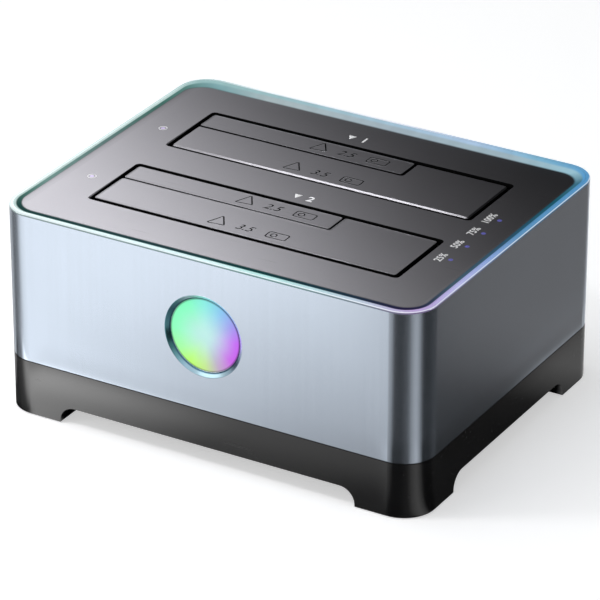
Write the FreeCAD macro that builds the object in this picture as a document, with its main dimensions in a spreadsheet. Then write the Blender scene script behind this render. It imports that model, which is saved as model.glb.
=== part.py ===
"""Two-bay drive duplicator: a top-loading dock that copies one drive to another.

Frame: millimetres, +X to the right, +Y to the back, +Z up. The origin lies under the middle of the
case, on the surface that the four rubber feet stand on.
"""
import FreeCAD, Part
import math
import os
import re

import Sketcher

SIZES = (
    ("shell_width", 141.2, "case, left to right"),
    ("shell_depth", 111.5, "case, front to back"),
    ("overall_height", 65.9, "table to the top of the light ring"),
    ("corner_radius", 10.0, "upright corners of the case"),
    ("shell_wall", 2.0, "aluminium sleeve"),
    ("rim_wall", 0.7, "sleeve where the light ring laps over it"),
    ("rim_height", 2.2, "height of that thinned rim"),
    ("seam_height", 17.6, "top edge of the black base"),
    ("seam_gap", 0.3, "shadow line between base and sleeve"),
    ("seam_groove", 0.8, "depth of the shadow line"),
    ("lip_bite", 0.4, "lip into the wall of the base"),
    ("base_floor", 2.0, "floor of the base"),
    ("foot_clearance", 5.8, "height of the arches between the feet"),
    ("foot_length", 20.5, "foot, along X"),
    ("foot_depth", 21.5, "foot, along Y"),
    ("foot_fillet", 5.0, "round at the top of each arch"),
    ("lip_wall", 1.2, "locating lip inside the sleeve"),
    ("lip_height", 2.5, "lip above the seam"),
    ("lip_root", 3.0, "lip below the seam, where it joins the wall"),
    ("lip_clearance", 0.2, "lip to sleeve"),
    ("pad_thickness", 1.5, "rubber foot pad"),
    ("pad_proud", 0.3, "pad below the foot"),
    ("pad_margin", 3.0, "edge of the foot to the pad"),
    ("pad_radius", 5.0, "corners of the pad"),
    ("pad_clearance", 0.1, "pad to its recess"),
    ("ring_height", 0.7, "light ring, seen from the side"),
    ("ring_width", 1.3, "light ring, seen from above"),
    ("ring_rounding", 0.45, "outer edge of the light ring"),
    ("ring_clearance", 0.05, "light ring to sleeve"),
    ("ledge_drop", 1.7, "ledge for the cover below the top of the ring"),
    ("skirt_wall", 1.1, "light guide behind the sleeve"),
    ("skirt_drop", 3.3, "light guide below the ledge"),
    ("cover_thickness", 2.0, "flat part of the top cover"),
    ("cover_clearance", 0.05, "cover to light ring"),
    ("dish_width", 3.45, "hollowed border of the cover"),
    ("dish_radius", 6.6, "arc of the hollowed border"),
    ("dish_drop", 1.0, "flat of the cover below the top of the ring"),
    ("rim_overlap", 0.5, "rim moulding into the flat of the cover"),
    ("bay_length", 103.8, "bay opening along X"),
    ("bay_depth", 27.6, "bay opening along Y"),
    ("bay_pitch", 43.1, "centre of one bay to the next"),
    ("bay_radius", 1.2, "corners of the bay opening"),
    ("opening_chamfer", 0.35, "top edge of the opening"),
    ("flap_gap", 1.3, "flap to opening"),
    ("split_gap", 0.7, "small flap to large flap"),
    ("flap_thickness", 1.8, "flap plate"),
    ("flap_rounding", 0.4, "top edge of the flaps"),
    ("flap_corner", 0.8, "upright corners of the flaps"),
    ("small_flap_length", 70.0, "2.5 inch flap along X"),
    ("small_flap_depth", 8.65, "2.5 inch flap along Y"),
    ("pivot_back", 4.4, "hinge axis behind the opening"),
    ("pivot_drop", 4.4, "hinge axis below the face of the flaps"),
    ("pin_radius", 0.75, "hinge pin"),
    ("hinge_clearance", 0.05, "pin in the knuckles"),
    ("pin_seat", 0.01, "pin in the lugs of the cover"),
    ("knuckle_radius", 1.9, "knuckles of the flaps"),
    ("lug_radius", 2.2, "hinge lugs of the cover"),
    ("lug_length", 3.0, "hinge lug along the pin"),
    ("arm_thickness", 3.0, "hinge arm along X"),
    ("arm_inset", 3.6, "end of the flap to the outside of its arm"),
    ("arm_reach", 11.0, "hinge arm under the flap, from the axis"),
    ("arm_weld", 0.2, "arm moulding into the flap"),
    ("arm_play", 0.4, "arm to hinge lug"),
    ("spring_length", 3.2, "torsion spring along the pin"),
    ("spring_radius", 1.35, "middle of the spring wire from the axis"),
    ("wire_radius", 0.28, "spring wire"),
    ("spring_pitch", 0.84, "turn to turn"),
    ("liner_wall", 1.5, "wall of the bay wells"),
    ("liner_bottom", 23.5, "underside of the wells"),
    ("pocket_depth", 2.8, "room behind the opening for an open flap"),
    ("hinge_headroom", 2.5, "back wall of the well below the axis"),
    ("notch_play", 0.6, "hinge arm to its notch"),
    ("tab_length", 4.6, "screw tab of the wells, along X"),
    ("tab_half_width", 4.0, "screw tab, half its size along Y"),
    ("tab_thickness", 2.0, "screw tab"),
    ("tab_drop", 3.0, "top of the tab below the cover"),
    ("stake_boss", 3.6, "square boss of the cover above a staked part"),
    ("stake_size", 2.0, "square stake through that part"),
    ("stake_play", 0.1, "stake to its hole, all round"),
    ("guide_length", 1.2, "guide ribs in the wells, along Y"),
    ("guide_proud", 0.5, "guide ribs, into the well"),
    ("board_height", 18.4, "underside of the main board"),
    ("board_thickness", 1.6, "main board"),
    ("board_margin", 0.6, "main board to the lip of the base"),
    ("board_radius", 5.0, "corners of the main board"),
    ("post_inset", 10.6, "corner screw from the side of the case"),
    ("post_radius", 3.5, "screw post of the cover"),
    ("boss_radius", 4.0, "screw boss of the base"),
    ("screw_radius", 1.45, "corner screw"),
    ("screw_clearance", 0.25, "corner screw in the base"),
    ("thread_seat", 0.02, "screws in their pilot holes"),
    ("screw_head_radius", 2.9, "head of the corner screw"),
    ("screw_head_height", 2.2, "head of the corner screw"),
    ("screw_seat", 6.2, "height of the seat of the screw head"),
    ("screw_reach", 7.5, "corner screw above the main board"),
    ("window_height", 41.7, "centre of the front window"),
    ("window_radius", 11.55, "visible radius of the diffuser"),
    ("window_chamfer", 1.5, "chamfer round the window, across"),
    ("window_recess", 1.05, "chamfer round the window, deep"),
    ("lens_clearance", 0.1, "diffuser to the sleeve"),
    ("lens_flange", 2.0, "flange behind the sleeve, beyond the hole"),
    ("lens_flange_thickness", 1.5, "flange behind the sleeve"),
    ("reflector_length", 6.5, "white cup behind the diffuser"),
    ("reflector_wall", 1.2, "white cup"),
    ("lens_board_thickness", 1.2, "board behind the cup"),
    ("connector_x", -20.7, "drive connector from the middle"),
    ("connector_from_back", 4.4, "drive connector from the back of the opening"),
    ("connector_length", 39.0, "housing of the drive connector"),
    ("connector_width", 5.2, "housing of the drive connector"),
    ("connector_height", 8.5, "housing of the drive connector"),
    ("connector_play", 0.4, "connector to the floor of the well"),
    ("slot_depth", 6.0, "slots of the connector"),
    ("slot_width", 1.5, "slots of the connector"),
    ("key_width", 1.2, "leg of the L of each slot"),
    ("data_slot_length", 10.4, "seven-contact slot"),
    ("power_slot_length", 20.7, "fifteen-contact slot"),
    ("slot_spacing", 2.4, "wall between the two slots"),
    ("contact_pitch", 1.27, "contact to contact"),
    ("contact_width", 0.6, "contact blade"),
    ("contact_thickness", 0.25, "contact blade"),
    ("port_height", 26.5, "centre of the power jack"),
    ("jack_x", 34.0, "power jack"),
    ("jack_bore", 2.8, "radius of the plug hole of the jack"),
    ("jack_bore_depth", 9.5, "depth of the plug hole"),
    ("jack_nose_radius", 3.9, "round nose of the jack"),
    ("jack_width", 9.0, "body of the jack"),
    ("jack_length", 12.5, "body of the jack"),
    ("jack_pin_radius", 1.05, "centre pin of the jack"),
    ("port_recess", 0.4, "ports and nose behind the face of the sleeve"),
    ("port_clearance", 0.3, "ports to the sleeve"),
    ("usb_x", 14.0, "data port"),
    ("usb_width", 8.94, "metal mouth of the data port"),
    ("usb_height", 3.26, "metal mouth of the data port"),
    ("usb_wall", 0.3, "metal mouth of the data port"),
    ("usb_length", 9.0, "metal mouth of the data port"),
    ("usb_radius", 1.5, "corners of the metal mouth"),
    ("tongue_width", 6.7, "tongue of the data port"),
    ("tongue_height", 0.7, "tongue of the data port"),
    ("power_button_x", -34.0, "power button"),
    ("power_button_radius", 4.3, "power button"),
    ("power_travel", 2.0, "power button"),
    ("clone_button_x", -14.0, "clone button"),
    ("clone_button_radius", 2.7, "clone button"),
    ("clone_travel", 0.8, "clone button"),
    ("button_play", 0.3, "buttons to the sleeve, all round"),
    ("button_flange", 1.0, "collar of the buttons behind the sleeve"),
    ("stem_size", 2.6, "square stem of the buttons"),
    ("stem_play", 0.3, "stem to its switch, all round"),
    ("switch_width", 8.0, "housing of the switches"),
    ("switch_length", 7.0, "housing of the switches"),
    ("progress_x", 59.4, "row of progress lights"),
    ("progress_middle", -2.7, "middle of that row along Y"),
    ("progress_pitch", 9.9, "light to light"),
    ("pipe_radius", 0.7, "progress light pipe"),
    ("bay_light_x", -59.1, "bay lights"),
    ("bay_light_shift", -2.2, "bay lights from the middle, along Y"),
    ("bay_light_pitch", 39.7, "bay light to bay light"),
    ("bay_pipe_radius", 0.7, "bay light pipe"),
    ("pipe_length", 3.7, "light pipes"),
    ("pipe_clearance", 0.05, "light pipes in the cover"),
    ("light_board_drop", 5.3, "top of the small light boards below the face of the cover"),
    ("light_board_thickness", 1.0, "small light boards"),
    ("light_board_width", 4.6, "small light boards along X"),
    ("light_board_margin", 4.0, "small light boards past their lights"),
    ("lamp_size", 1.6, "small lamp on its board"),
    ("lamp_height", 0.9, "small lamp on its board"),
    ("lamp_pitch", 13.0, "lamp to lamp round the light ring"),
    ("strip_offset", 0.4, "light ring to its strip board"),
    ("strip_width", 3.0, "strip board of the light ring"),
    ("strip_thickness", 1.0, "strip board of the light ring"),
    ("chip_height", 0.9, "chips"),
    ("capacitor_radius", 3.15, "capacitors"),
    ("capacitor_height", 7.7, "capacitors"),
    ("cable_width", 6.0, "flat inner cables"),
    ("cable_thickness", 0.3, "flat inner cables"),
    ("socket_height", 2.4, "sockets of the inner cables"),
)

NAMES = re.compile(r"\b(" + "|".join(alias for alias, _, _ in SIZES) + r")\b")
CORNERS = ((1, 1), (-1, 1), (-1, -1), (1, -1))
BAYS = {"rear": 1, "front": -1}

# Heights and places that follow from the sizes above.
HALF_WIDTH = "(shell_width / 2)"
HALF_DEPTH = "(shell_depth / 2)"
SLEEVE_BOTTOM = "(seam_height + seam_gap)"
SLEEVE_TOP = "(overall_height - ring_height)"
RIM_BOTTOM = f"({SLEEVE_TOP} - rim_height)"
LEDGE = "(overall_height - ledge_drop)"
COVER_TOP = "(overall_height - dish_drop)"
COVER_UNDER = f"({COVER_TOP} - cover_thickness)"
COVER_INSET = "(ring_width + cover_clearance)"
DISH_INSET = f"({COVER_INSET} + dish_width)"
SKIRT_INSET = "(shell_wall + ring_clearance)"
PIVOT_HEIGHT = f"({COVER_TOP} - pivot_drop)"
BOARD_TOP = "(board_height + board_thickness)"
BASE_WALL = "(shell_wall + lip_clearance + lip_bite)"
BOARD_INSET = "(shell_wall + lip_clearance + lip_wall + board_margin)"
POST_X = f"({HALF_WIDTH} - post_inset)"
POST_Y = f"({HALF_DEPTH} - post_inset)"
FLAP_LEFT = "(-(bay_length / 2 - flap_gap))"
FLAP_RIGHT = "(bay_length / 2 - flap_gap)"
SMALL_RIGHT = f"({FLAP_LEFT} + small_flap_length)"
LARGE_LEFT = f"({SMALL_RIGHT} + split_gap)"
WELL_BACK = "(bay_depth / 2 + pocket_depth)"
AXIS_Y = "(bay_depth / 2 + pivot_back)"
CONNECTOR_Y = "(bay_depth / 2 - connector_from_back)"
LIGHT_BOARD_TOP = f"({COVER_TOP} - light_board_drop)"

doc = FreeCAD.newDocument("DriveDuplicator")
sheet = doc.addObject("Spreadsheet::Sheet", "Sizes")
nodes = []


def fill_sheet():
    """Write every size into the sheet with its alias and a note."""
    for row, (alias, value, note) in enumerate(SIZES, 1):
        sheet.set(f"A{row}", alias)
        sheet.set(f"B{row}", str(value))
        sheet.set(f"C{row}", note)
        sheet.setAlias(f"B{row}", alias)
    doc.recompute()


def formula(text):
    """A formula of sizes, with each size read from the sheet."""
    return NAMES.sub(r"Sizes.\1", str(text))


def number(text):
    """Present value of a formula of sizes."""
    return float(sheet.evalExpression(formula(text)))


def bind(item, path, text):
    """Tie one property of an object to a formula of sizes."""
    item.setExpression(path, formula(text))


def near(first, second):
    """True where two lengths are the same."""
    return abs(first - second) < 1e-4


class Outline:
    """A sketch on a plane of its own body, with every dimension bound to the sheet."""

    def __init__(self, body, name, role="XY_Plane", offset="0"):
        self.sketch = body.newObject("Sketcher::SketchObject", name)
        plane = next(item for item in body.Origin.OriginFeatures if item.Role == role)
        self.sketch.AttachmentSupport = [(plane, "")]
        self.sketch.MapMode = "FlatFace"
        bind(self.sketch, "AttachmentOffset.Base.z", offset)

    def rule(self, *parts):
        """Add one geometric constraint."""
        return self.sketch.addConstraint(Sketcher.Constraint(*parts))

    def size(self, kind, text, *parts):
        """Add one dimension, bound to a formula."""
        index = self.rule(kind, *parts, number(text))
        name = f"size{index}"
        self.sketch.renameConstraint(index, name)
        bind(self.sketch, "Constraints." + name, text)

    def place(self, geometry, point, x=None, y=None):
        """Hold a point at a distance from the origin along either axis."""
        if x is not None:
            self.size("DistanceX", x, -1, 1, geometry, point)
        if y is not None:
            self.size("DistanceY", y, -1, 1, geometry, point)

    def line(self, start, end):
        """Add a straight line between two points given as numbers."""
        points = [FreeCAD.Vector(x, y, 0) for x, y in (start, end)]
        return self.sketch.addGeometry(Part.LineSegment(*points), False)

    def arc(self, centre, radius, start, end):
        """Add an arc, counter-clockwise between two angles in degrees."""
        circle = Part.Circle(FreeCAD.Vector(*centre, 0), FreeCAD.Vector(0, 0, 1), radius)
        part = Part.ArcOfCircle(circle, math.radians(start), math.radians(end))
        return self.sketch.addGeometry(part, False)

    def polygon(self, corners):
        """Straight-sided outline; each corner is a pair of formulas."""
        points = [(number(x), number(y)) for x, y in corners]
        lines = [self.line(*pair) for pair in zip(points, points[1:] + points[:1])]
        for line, following in zip(lines, lines[1:] + lines[:1]):
            self.rule("Coincident", line, 2, following, 1)
        for line, (x, y) in zip(lines, corners):
            self.place(line, 1, x, y)
        return self

    def rectangle(self, left, right, bottom, top):
        """Sharp-cornered rectangle."""
        return self.polygon(((left, bottom), (right, bottom), (right, top), (left, top)))

    def circle(self, x, y, radius):
        """Full circle."""
        centre = FreeCAD.Vector(number(x), number(y), 0)
        shape = Part.Circle(centre, FreeCAD.Vector(0, 0, 1), number(radius))
        index = self.sketch.addGeometry(shape, False)
        self.place(index, 3, x, y)
        self.size("Radius", radius, index)
        return self

    def rounded(self, left, right, bottom, top, radius, split=False):
        """Rectangle with round corners; split starts it in the middle of the bottom side."""
        x0, x1, y0, y1, r = (number(text) for text in (left, right, bottom, top, radius))
        middle = (x0 + x1) / 2 if split else x0 + r
        centres = ((x1 - r, y0 + r), (x1 - r, y1 - r), (x0 + r, y1 - r), (x0 + r, y0 + r))
        starts = ((middle, y0), (x1, y0 + r), (x1 - r, y1), (x0, y1 - r))
        ends = ((x1 - r, y0), (x1, y1 - r), (x0 + r, y1), (x0, y0 + r))
        lines, arcs = [], []
        for turn in range(4):
            lines.append(self.line(starts[turn], ends[turn]))
            arcs.append(self.arc(centres[turn], r, 90 * turn - 90, 90 * turn))
        last = lines[0]
        if split:
            last = self.line((x0 + r, y0), (middle, y0))
            self.rule("Coincident", last, 2, lines[0], 1)
            self.rule("Horizontal", last)
            self.place(lines[0], 1, x=f"({left} + {right}) / 2")
        for turn in range(4):
            self.rule("Tangent", lines[turn], 2, arcs[turn], 1)
            self.rule("Tangent", arcs[turn], 2, (lines[1:] + [last])[turn], 1)
            self.rule("Horizontal" if turn % 2 == 0 else "Vertical", lines[turn])
            if turn:
                self.rule("Equal", arcs[0], arcs[turn])
        self.size("Radius", radius, arcs[0])
        self.place(lines[0], 2, y=bottom)
        self.place(lines[1], 2, x=right)
        self.place(lines[2], 2, y=top)
        self.place(lines[3], 2, x=left)
        return self

    def inset(self, distance, split=False):
        """Outline of the case, moved inwards by a distance."""
        x = f"({HALF_WIDTH} - {distance})"
        y = f"({HALF_DEPTH} - {distance})"
        return self.rounded(f"-{x}", x, f"-{y}", y, f"(corner_radius - {distance})", split)

    def corner_circles(self, x, y, radius):
        """One circle at each corner of a rectangle about the origin."""
        for sign_x, sign_y in CORNERS:
            self.circle(f"{sign_x} * {x}", f"{sign_y} * {y}", radius)
        return self


def new_body(label):
    """Empty body that becomes one node."""
    body = doc.addObject("PartDesign::Body", label)
    body.Label = label
    nodes.append(body)
    return body


def move(item, x="0", y="0", z="0"):
    """Bind the place of an object to formulas."""
    for axis, text in zip("xyz", (x, y, z)):
        bind(item, "Placement.Base." + axis, text)


def pad(body, outline, length, backwards=False):
    """Add material along the normal of a sketch."""
    feature = body.newObject("PartDesign::Pad", outline.sketch.Name + "_pad")
    feature.Profile = outline.sketch
    feature.Reversed = backwards
    bind(feature, "Length", length)
    doc.recompute()
    return feature


def pocket(body, outline, length, backwards=False, both_ways=False):
    """Remove material against the normal of a sketch, and make sure that some went."""
    before = body.Shape.Volume
    feature = body.newObject("PartDesign::Pocket", outline.sketch.Name + "_pocket")
    feature.Profile = outline.sketch
    feature.Reversed = backwards
    feature.Midplane = both_ways
    bind(feature, "Length", length)
    doc.recompute()
    if body.Shape.Volume > before - 1e-6:
        raise ValueError(feature.Name + " removes nothing")
    return feature


def sweep(body, section, path):
    """Add a section carried along a closed path."""
    feature = body.newObject("PartDesign::AdditivePipe", section.sketch.Name + "_sweep")
    feature.Profile = section.sketch
    feature.Spine = path.sketch
    doc.recompute()
    return feature


def turn(body, outline, kind="Revolution"):
    """Revolve or groove a sketch about the first construction line in it."""
    feature = body.newObject("PartDesign::" + kind, outline.sketch.Name + "_turned")
    feature.Profile = outline.sketch
    feature.ReferenceAxis = (outline.sketch, ["Axis0"])
    doc.recompute()
    return feature


def soften(body, kind, amount, test):
    """Fillet or chamfer every edge of a body that passes a test."""
    base = body.Tip
    edges = [f"Edge{index}" for index, edge in enumerate(base.Shape.Edges, 1) if test(edge)]
    if not edges:
        raise ValueError(body.Label + " has no edge to soften")
    feature = body.newObject("PartDesign::" + kind, f"{body.Name}_{kind}")
    feature.Base = (base, edges)
    bind(feature, "Radius" if kind == "Fillet" else "Size", amount)
    doc.recompute()
    return feature


def level_at(edge, height):
    """True for an edge that lies flat at a height."""
    box = edge.BoundBox
    return near(box.ZMin, height) and near(box.ZMax, height)


def upright(edge):
    """True for a vertical straight edge."""
    box = edge.BoundBox
    return box.XLength < 1e-4 and box.YLength < 1e-4


def axis_line(outline, height):
    """Construction line along the first axis of a sketch, to turn it about."""
    y = number(height)
    index = outline.line((0, y), (-10, y))
    outline.sketch.setConstruction(index, True)
    outline.rule("Horizontal", index)
    outline.place(index, 1, "0", height)
    outline.size("DistanceX", "-10", index, 1, index, 2)


def block(name, x, y, z, length, width, height):
    """Box centred on x and y, standing at height z."""
    item = doc.addObject("Part::Box", name)
    bind(item, "Length", length)
    bind(item, "Width", width)
    bind(item, "Height", height)
    move(item, f"{x} - ({length}) / 2", f"{y} - ({width}) / 2", z)
    return item


def rod(name, x, y, z, radius, length):
    """Upright cylinder standing at height z."""
    item = doc.addObject("Part::Cylinder", name)
    bind(item, "Radius", radius)
    bind(item, "Height", length)
    move(item, x, y, z)
    return item


def fused(name, items):
    """One solid from several."""
    item = doc.addObject("Part::MultiFuse", name)
    item.Shapes = items
    return item


def node(item, label):
    """Name an object as one node."""
    item.Label = label
    nodes.append(item)
    return item


def group(label, items):
    """Several separate solids in one node."""
    item = doc.addObject("Part::Compound", label)
    item.Links = items
    return node(item, label)


def make_shell():
    """Extruded aluminium sleeve with the window in front and the ports behind."""
    body = new_body("aluminium_shell")
    wall = Outline(body, "sleeve", offset=SLEEVE_BOTTOM).inset("0").inset("shell_wall")
    pad(body, wall, f"{SLEEVE_TOP} - {SLEEVE_BOTTOM}")
    rim = Outline(body, "sleeve_rim", offset=SLEEVE_TOP).inset("rim_wall")
    pocket(body, rim, "rim_height")
    hole = Outline(body, "window_hole", "YZ_Plane")
    axis_line(hole, "window_height")
    outside = "(window_radius + window_chamfer + window_chamfer / window_recess)"
    hole.polygon((
        (f"-{HALF_DEPTH} - 1", "window_height"),
        (f"-{HALF_DEPTH} - 1", f"window_height + {outside}"),
        (f"-{HALF_DEPTH} + window_recess", "window_height + window_radius"),
        (f"-{HALF_DEPTH} + shell_wall + 1", "window_height + window_radius"),
        (f"-{HALF_DEPTH} + shell_wall + 1", "window_height")))
    turn(body, hole, "Groove")
    ports = Outline(body, "rear_ports", "XZ_Plane", f"-{HALF_DEPTH} - 1")
    ports.circle("jack_x", "port_height", "jack_nose_radius + port_clearance")
    ports.circle("power_button_x", "port_height", "power_button_radius + button_play")
    ports.circle("clone_button_x", "port_height", "clone_button_radius + button_play")
    reach = "(usb_width / 2 + port_clearance)"
    ports.rounded(f"usb_x - {reach}", f"usb_x + {reach}", f"{BOARD_TOP} - port_clearance",
                  f"{BOARD_TOP} + usb_height + port_clearance", "usb_radius + port_clearance")
    pocket(body, ports, "shell_wall + 2", backwards=True)


def make_base():
    """Black base: arches between four feet, locating lip and the bosses that carry the board."""
    body = new_body("base_tray")
    pad(body, Outline(body, "base_block", offset="pad_proud").inset("0"), "seam_height - pad_proud")
    land = Outline(body, "base_land", offset="seam_height").inset("seam_groove").inset(BASE_WALL)
    floor_top = "(foot_clearance + base_floor)"
    cavity = Outline(body, "base_cavity", offset="seam_height").inset(BASE_WALL)
    pocket(body, cavity, f"seam_height - {floor_top}")
    pad(body, land, "seam_gap")
    lip = Outline(body, "base_lip", offset="seam_height - lip_root")
    lip.inset("(shell_wall + lip_clearance)").inset("(shell_wall + lip_clearance + lip_wall)")
    pad(body, lip, "lip_root + seam_gap + lip_height")
    for name, role, half, depth in (("arch_x", "XZ_Plane", f"({HALF_WIDTH} - foot_length)", "shell_depth"),
                                    ("arch_y", "YZ_Plane", f"({HALF_DEPTH} - foot_depth)", "shell_width")):
        arch = Outline(body, name, role)
        arch.rounded(f"-{half}", half, "-2 * foot_fillet", "foot_clearance", "foot_fillet")
        pocket(body, arch, f"2 * {depth}", both_ways=True)
    port_gap = Outline(body, "lip_gap", offset=f"{SLEEVE_BOTTOM} + lip_height")
    port_gap.rectangle("power_button_x - power_button_radius - 2", "jack_x + jack_width / 2 + 1",
                       f"{HALF_DEPTH} - {BOARD_INSET}", f"{HALF_DEPTH} - shell_wall")
    pocket(body, port_gap, "lip_height")
    bosses = Outline(body, "base_bosses", offset=floor_top).corner_circles(POST_X, POST_Y, "boss_radius")
    pad(body, bosses, f"board_height - {floor_top}")
    screws = Outline(body, "screw_holes", offset="board_height")
    screws.corner_circles(POST_X, POST_Y, "screw_radius + screw_clearance")
    pocket(body, screws, "board_height")
    heads = Outline(body, "head_recess", offset="screw_seat")
    heads.corner_circles(POST_X, POST_Y, "screw_head_radius + screw_clearance")
    pocket(body, heads, "screw_seat")
    recess = Outline(body, "pad_recess", offset="pad_thickness")
    for corner in CORNERS:
        pad_outline(recess, corner, "0")
    pocket(body, recess, "pad_thickness")


def pad_outline(outline, corner, shrink):
    """Outline of one rubber pad, under the foot at a corner of the case."""
    near_x = f"({HALF_WIDTH} - foot_length + pad_margin + {shrink})"
    far_x = f"({HALF_WIDTH} - pad_margin - {shrink})"
    near_y = f"({HALF_DEPTH} - foot_depth + pad_margin + {shrink})"
    far_y = f"({HALF_DEPTH} - pad_margin - {shrink})"
    span_x = (near_x, far_x) if corner[0] > 0 else ("-" + far_x, "-" + near_x)
    span_y = (near_y, far_y) if corner[1] > 0 else ("-" + far_y, "-" + near_y)
    outline.rounded(*span_x, *span_y, f"pad_radius - {shrink}")


def make_foot_pads():
    """Four rubber pads that the case stands on."""
    body = new_body("foot_pads")
    outline = Outline(body, "pads")
    for corner in CORNERS:
        pad_outline(outline, corner, "pad_clearance")
    pad(body, outline, "pad_thickness")


def front(distance):
    """Place on the section through the front wall, at a distance behind its face."""
    return f"(-{HALF_DEPTH} + {distance})"


def make_light_ring():
    """Translucent rim: a rounded cap on the sleeve, a ledge for the cover and a light guide."""
    body = new_body("light_ring")
    path = Outline(body, "ring_path", offset="overall_height").inset("0", split=True)
    section = Outline(body, "ring_section", "YZ_Plane")
    skirt_inside = f"({SKIRT_INSET} + skirt_wall)"
    neck = "(rim_wall + ring_clearance)"
    section.polygon((
        (front("0"), SLEEVE_TOP),
        (front(neck), SLEEVE_TOP),
        (front(neck), f"{RIM_BOTTOM} + ring_clearance"),
        (front(SKIRT_INSET), f"{RIM_BOTTOM} + ring_clearance"),
        (front(SKIRT_INSET), f"{LEDGE} - skirt_drop"),
        (front(skirt_inside), f"{LEDGE} - skirt_drop"),
        (front(skirt_inside), LEDGE),
        (front("ring_width"), LEDGE),
        (front("ring_width"), "overall_height"),
        (front("0"), "overall_height")))
    sweep(body, section, path)
    top, side = number("overall_height"), number(HALF_WIDTH)
    soften(body, "Fillet", "ring_rounding", lambda edge: level_at(edge, top) and outermost(edge, side))


def outermost(edge, half_width):
    """True for an edge on the outer face of the case."""
    middle = edge.valueAt((edge.FirstParameter + edge.LastParameter) / 2)
    half_depth, radius = number(HALF_DEPTH), number("corner_radius")
    across = max(abs(middle.x) - half_width + radius, 0)
    along = max(abs(middle.y) - half_depth + radius, 0)
    return near(math.hypot(across, along), radius)


def make_cover():
    """Top cover: dished border, two openings, hinge lugs, screw posts and light holes."""
    body = new_body("top_cover")
    pad(body, Outline(body, "cover_plate", offset=COVER_UNDER).inset(DISH_INSET), "cover_thickness")
    path = Outline(body, "cover_path", offset=COVER_TOP).inset(COVER_INSET, split=True)
    sweep(body, dish_section(body), path)
    openings = Outline(body, "bay_openings", offset=COVER_TOP)
    for sign in BAYS.values():
        centre = f"({sign} * bay_pitch / 2)"
        openings.rounded("-bay_length / 2", "bay_length / 2", f"{centre} - bay_depth / 2",
                         f"{centre} + bay_depth / 2", "bay_radius")
    pocket(body, openings, "cover_thickness + 1")
    top, reach = number(COVER_TOP), number("bay_length / 2") + 1e-3
    soften(body, "Chamfer", "opening_chamfer",
           lambda edge: level_at(edge, top) and max(abs(edge.BoundBox.XMin), abs(edge.BoundBox.XMax)) < reach)
    posts = Outline(body, "cover_posts", offset=COVER_UNDER).corner_circles(POST_X, POST_Y, "post_radius")
    pad(body, posts, f"{COVER_UNDER} - {BOARD_TOP}", backwards=True)
    pilots = Outline(body, "post_pilots", offset=f"{BOARD_TOP} + screw_reach + 1")
    pilots.corner_circles(POST_X, POST_Y, "screw_radius + thread_seat")
    pocket(body, pilots, "screw_reach + 2")
    make_cover_bosses(body)
    make_hinge_lugs(body)
    holes = Outline(body, "light_holes", offset=COVER_TOP)
    for y in progress_places():
        holes.circle("progress_x", y, "pipe_radius + pipe_clearance")
    for y in bay_light_places():
        holes.circle("bay_light_x", y, "bay_pipe_radius + pipe_clearance")
    pocket(body, holes, "cover_thickness + 1")


def dish_section(body):
    """Section of the border of the cover, hollowed by an arc that ends flat."""
    section = Outline(body, "dish_section", "YZ_Plane")
    corners = (
        (front(DISH_INSET), COVER_TOP),
        (front(f"({DISH_INSET} + rim_overlap)"), COVER_TOP),
        (front(f"({DISH_INSET} + rim_overlap)"), COVER_UNDER),
        (front(f"({SKIRT_INSET} + skirt_wall + 2 * cover_clearance)"), COVER_UNDER),
        (front(f"({SKIRT_INSET} + skirt_wall + 2 * cover_clearance)"), LEDGE),
        (front(COVER_INSET), LEDGE))
    points = [(number(x), number(y)) for x, y in corners]
    width, radius = number("dish_width"), number("dish_radius")
    rise = radius - math.sqrt(radius ** 2 - width ** 2)
    crest = (points[-1][0], points[0][1] + rise)
    lines = [section.line(*pair) for pair in zip(points, points[1:] + [crest])]
    angle = 180 + math.degrees(math.acos(width / radius))
    arc = section.arc((points[0][0], points[0][1] + radius), radius, angle, 270)
    for line, following in zip(lines, lines[1:]):
        section.rule("Coincident", line, 2, following, 1)
    section.rule("Coincident", lines[-1], 2, arc, 1)
    section.rule("Coincident", arc, 2, lines[0], 1)
    for line, (x, y) in zip(lines, corners):
        section.place(line, 1, x, y)
    section.rule("Vertical", lines[-1])
    section.place(arc, 3, front(DISH_INSET), f"{COVER_TOP} + dish_radius")
    return section


def tab_places():
    """Middle of each screw tab of the wells."""
    x = "(bay_length / 2 + liner_wall + tab_length / 2)"
    return [(f"({side} * {x})", f"({sign} * bay_pitch / 2)") for sign in BAYS.values() for side in (-1, 1)]


def light_stake_places():
    """Stakes that carry the two small light boards, between the lights."""
    places = [("(progress_x + 1)", f"(progress_middle + {sign} * progress_pitch)") for sign in (-1, 1)]
    return places + [("(bay_light_x - 1.4)", f"(bay_light_shift + {sign} * bay_light_pitch / 4)")
                     for sign in (-1, 1)]


def square(outline, x, y, size):
    """Square about a point."""
    outline.rectangle(f"{x} - ({size}) / 2", f"{x} + ({size}) / 2", f"{y} - ({size}) / 2", f"{y} + ({size}) / 2")


def make_cover_bosses(body):
    """Square bosses and stakes under the cover, for the wells and for the light boards."""
    carried = (("tab", tab_places(), f"({COVER_UNDER} - tab_drop)", "tab_thickness"),
               ("light", light_stake_places(), LIGHT_BOARD_TOP, "light_board_thickness"))
    for name, places, level, thickness in carried:
        bosses = Outline(body, f"{name}_bosses", offset=COVER_UNDER)
        stakes = Outline(body, f"{name}_stakes", offset=level)
        for x, y in places:
            square(bosses, x, y, "stake_boss")
            square(stakes, x, y, "stake_size")
        pad(body, bosses, f"{COVER_UNDER} - {level}", backwards=True)
        pad(body, stakes, f"{thickness} + stake_play", backwards=True)


def arm_starts():
    """Left side of each hinge arm: two of the small flap, then two of the large flap."""
    return (f"({FLAP_LEFT} + arm_inset)", f"({SMALL_RIGHT} - arm_inset - arm_thickness)",
            f"({LARGE_LEFT} + arm_inset)", f"({FLAP_RIGHT} - arm_inset - arm_thickness)")


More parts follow.
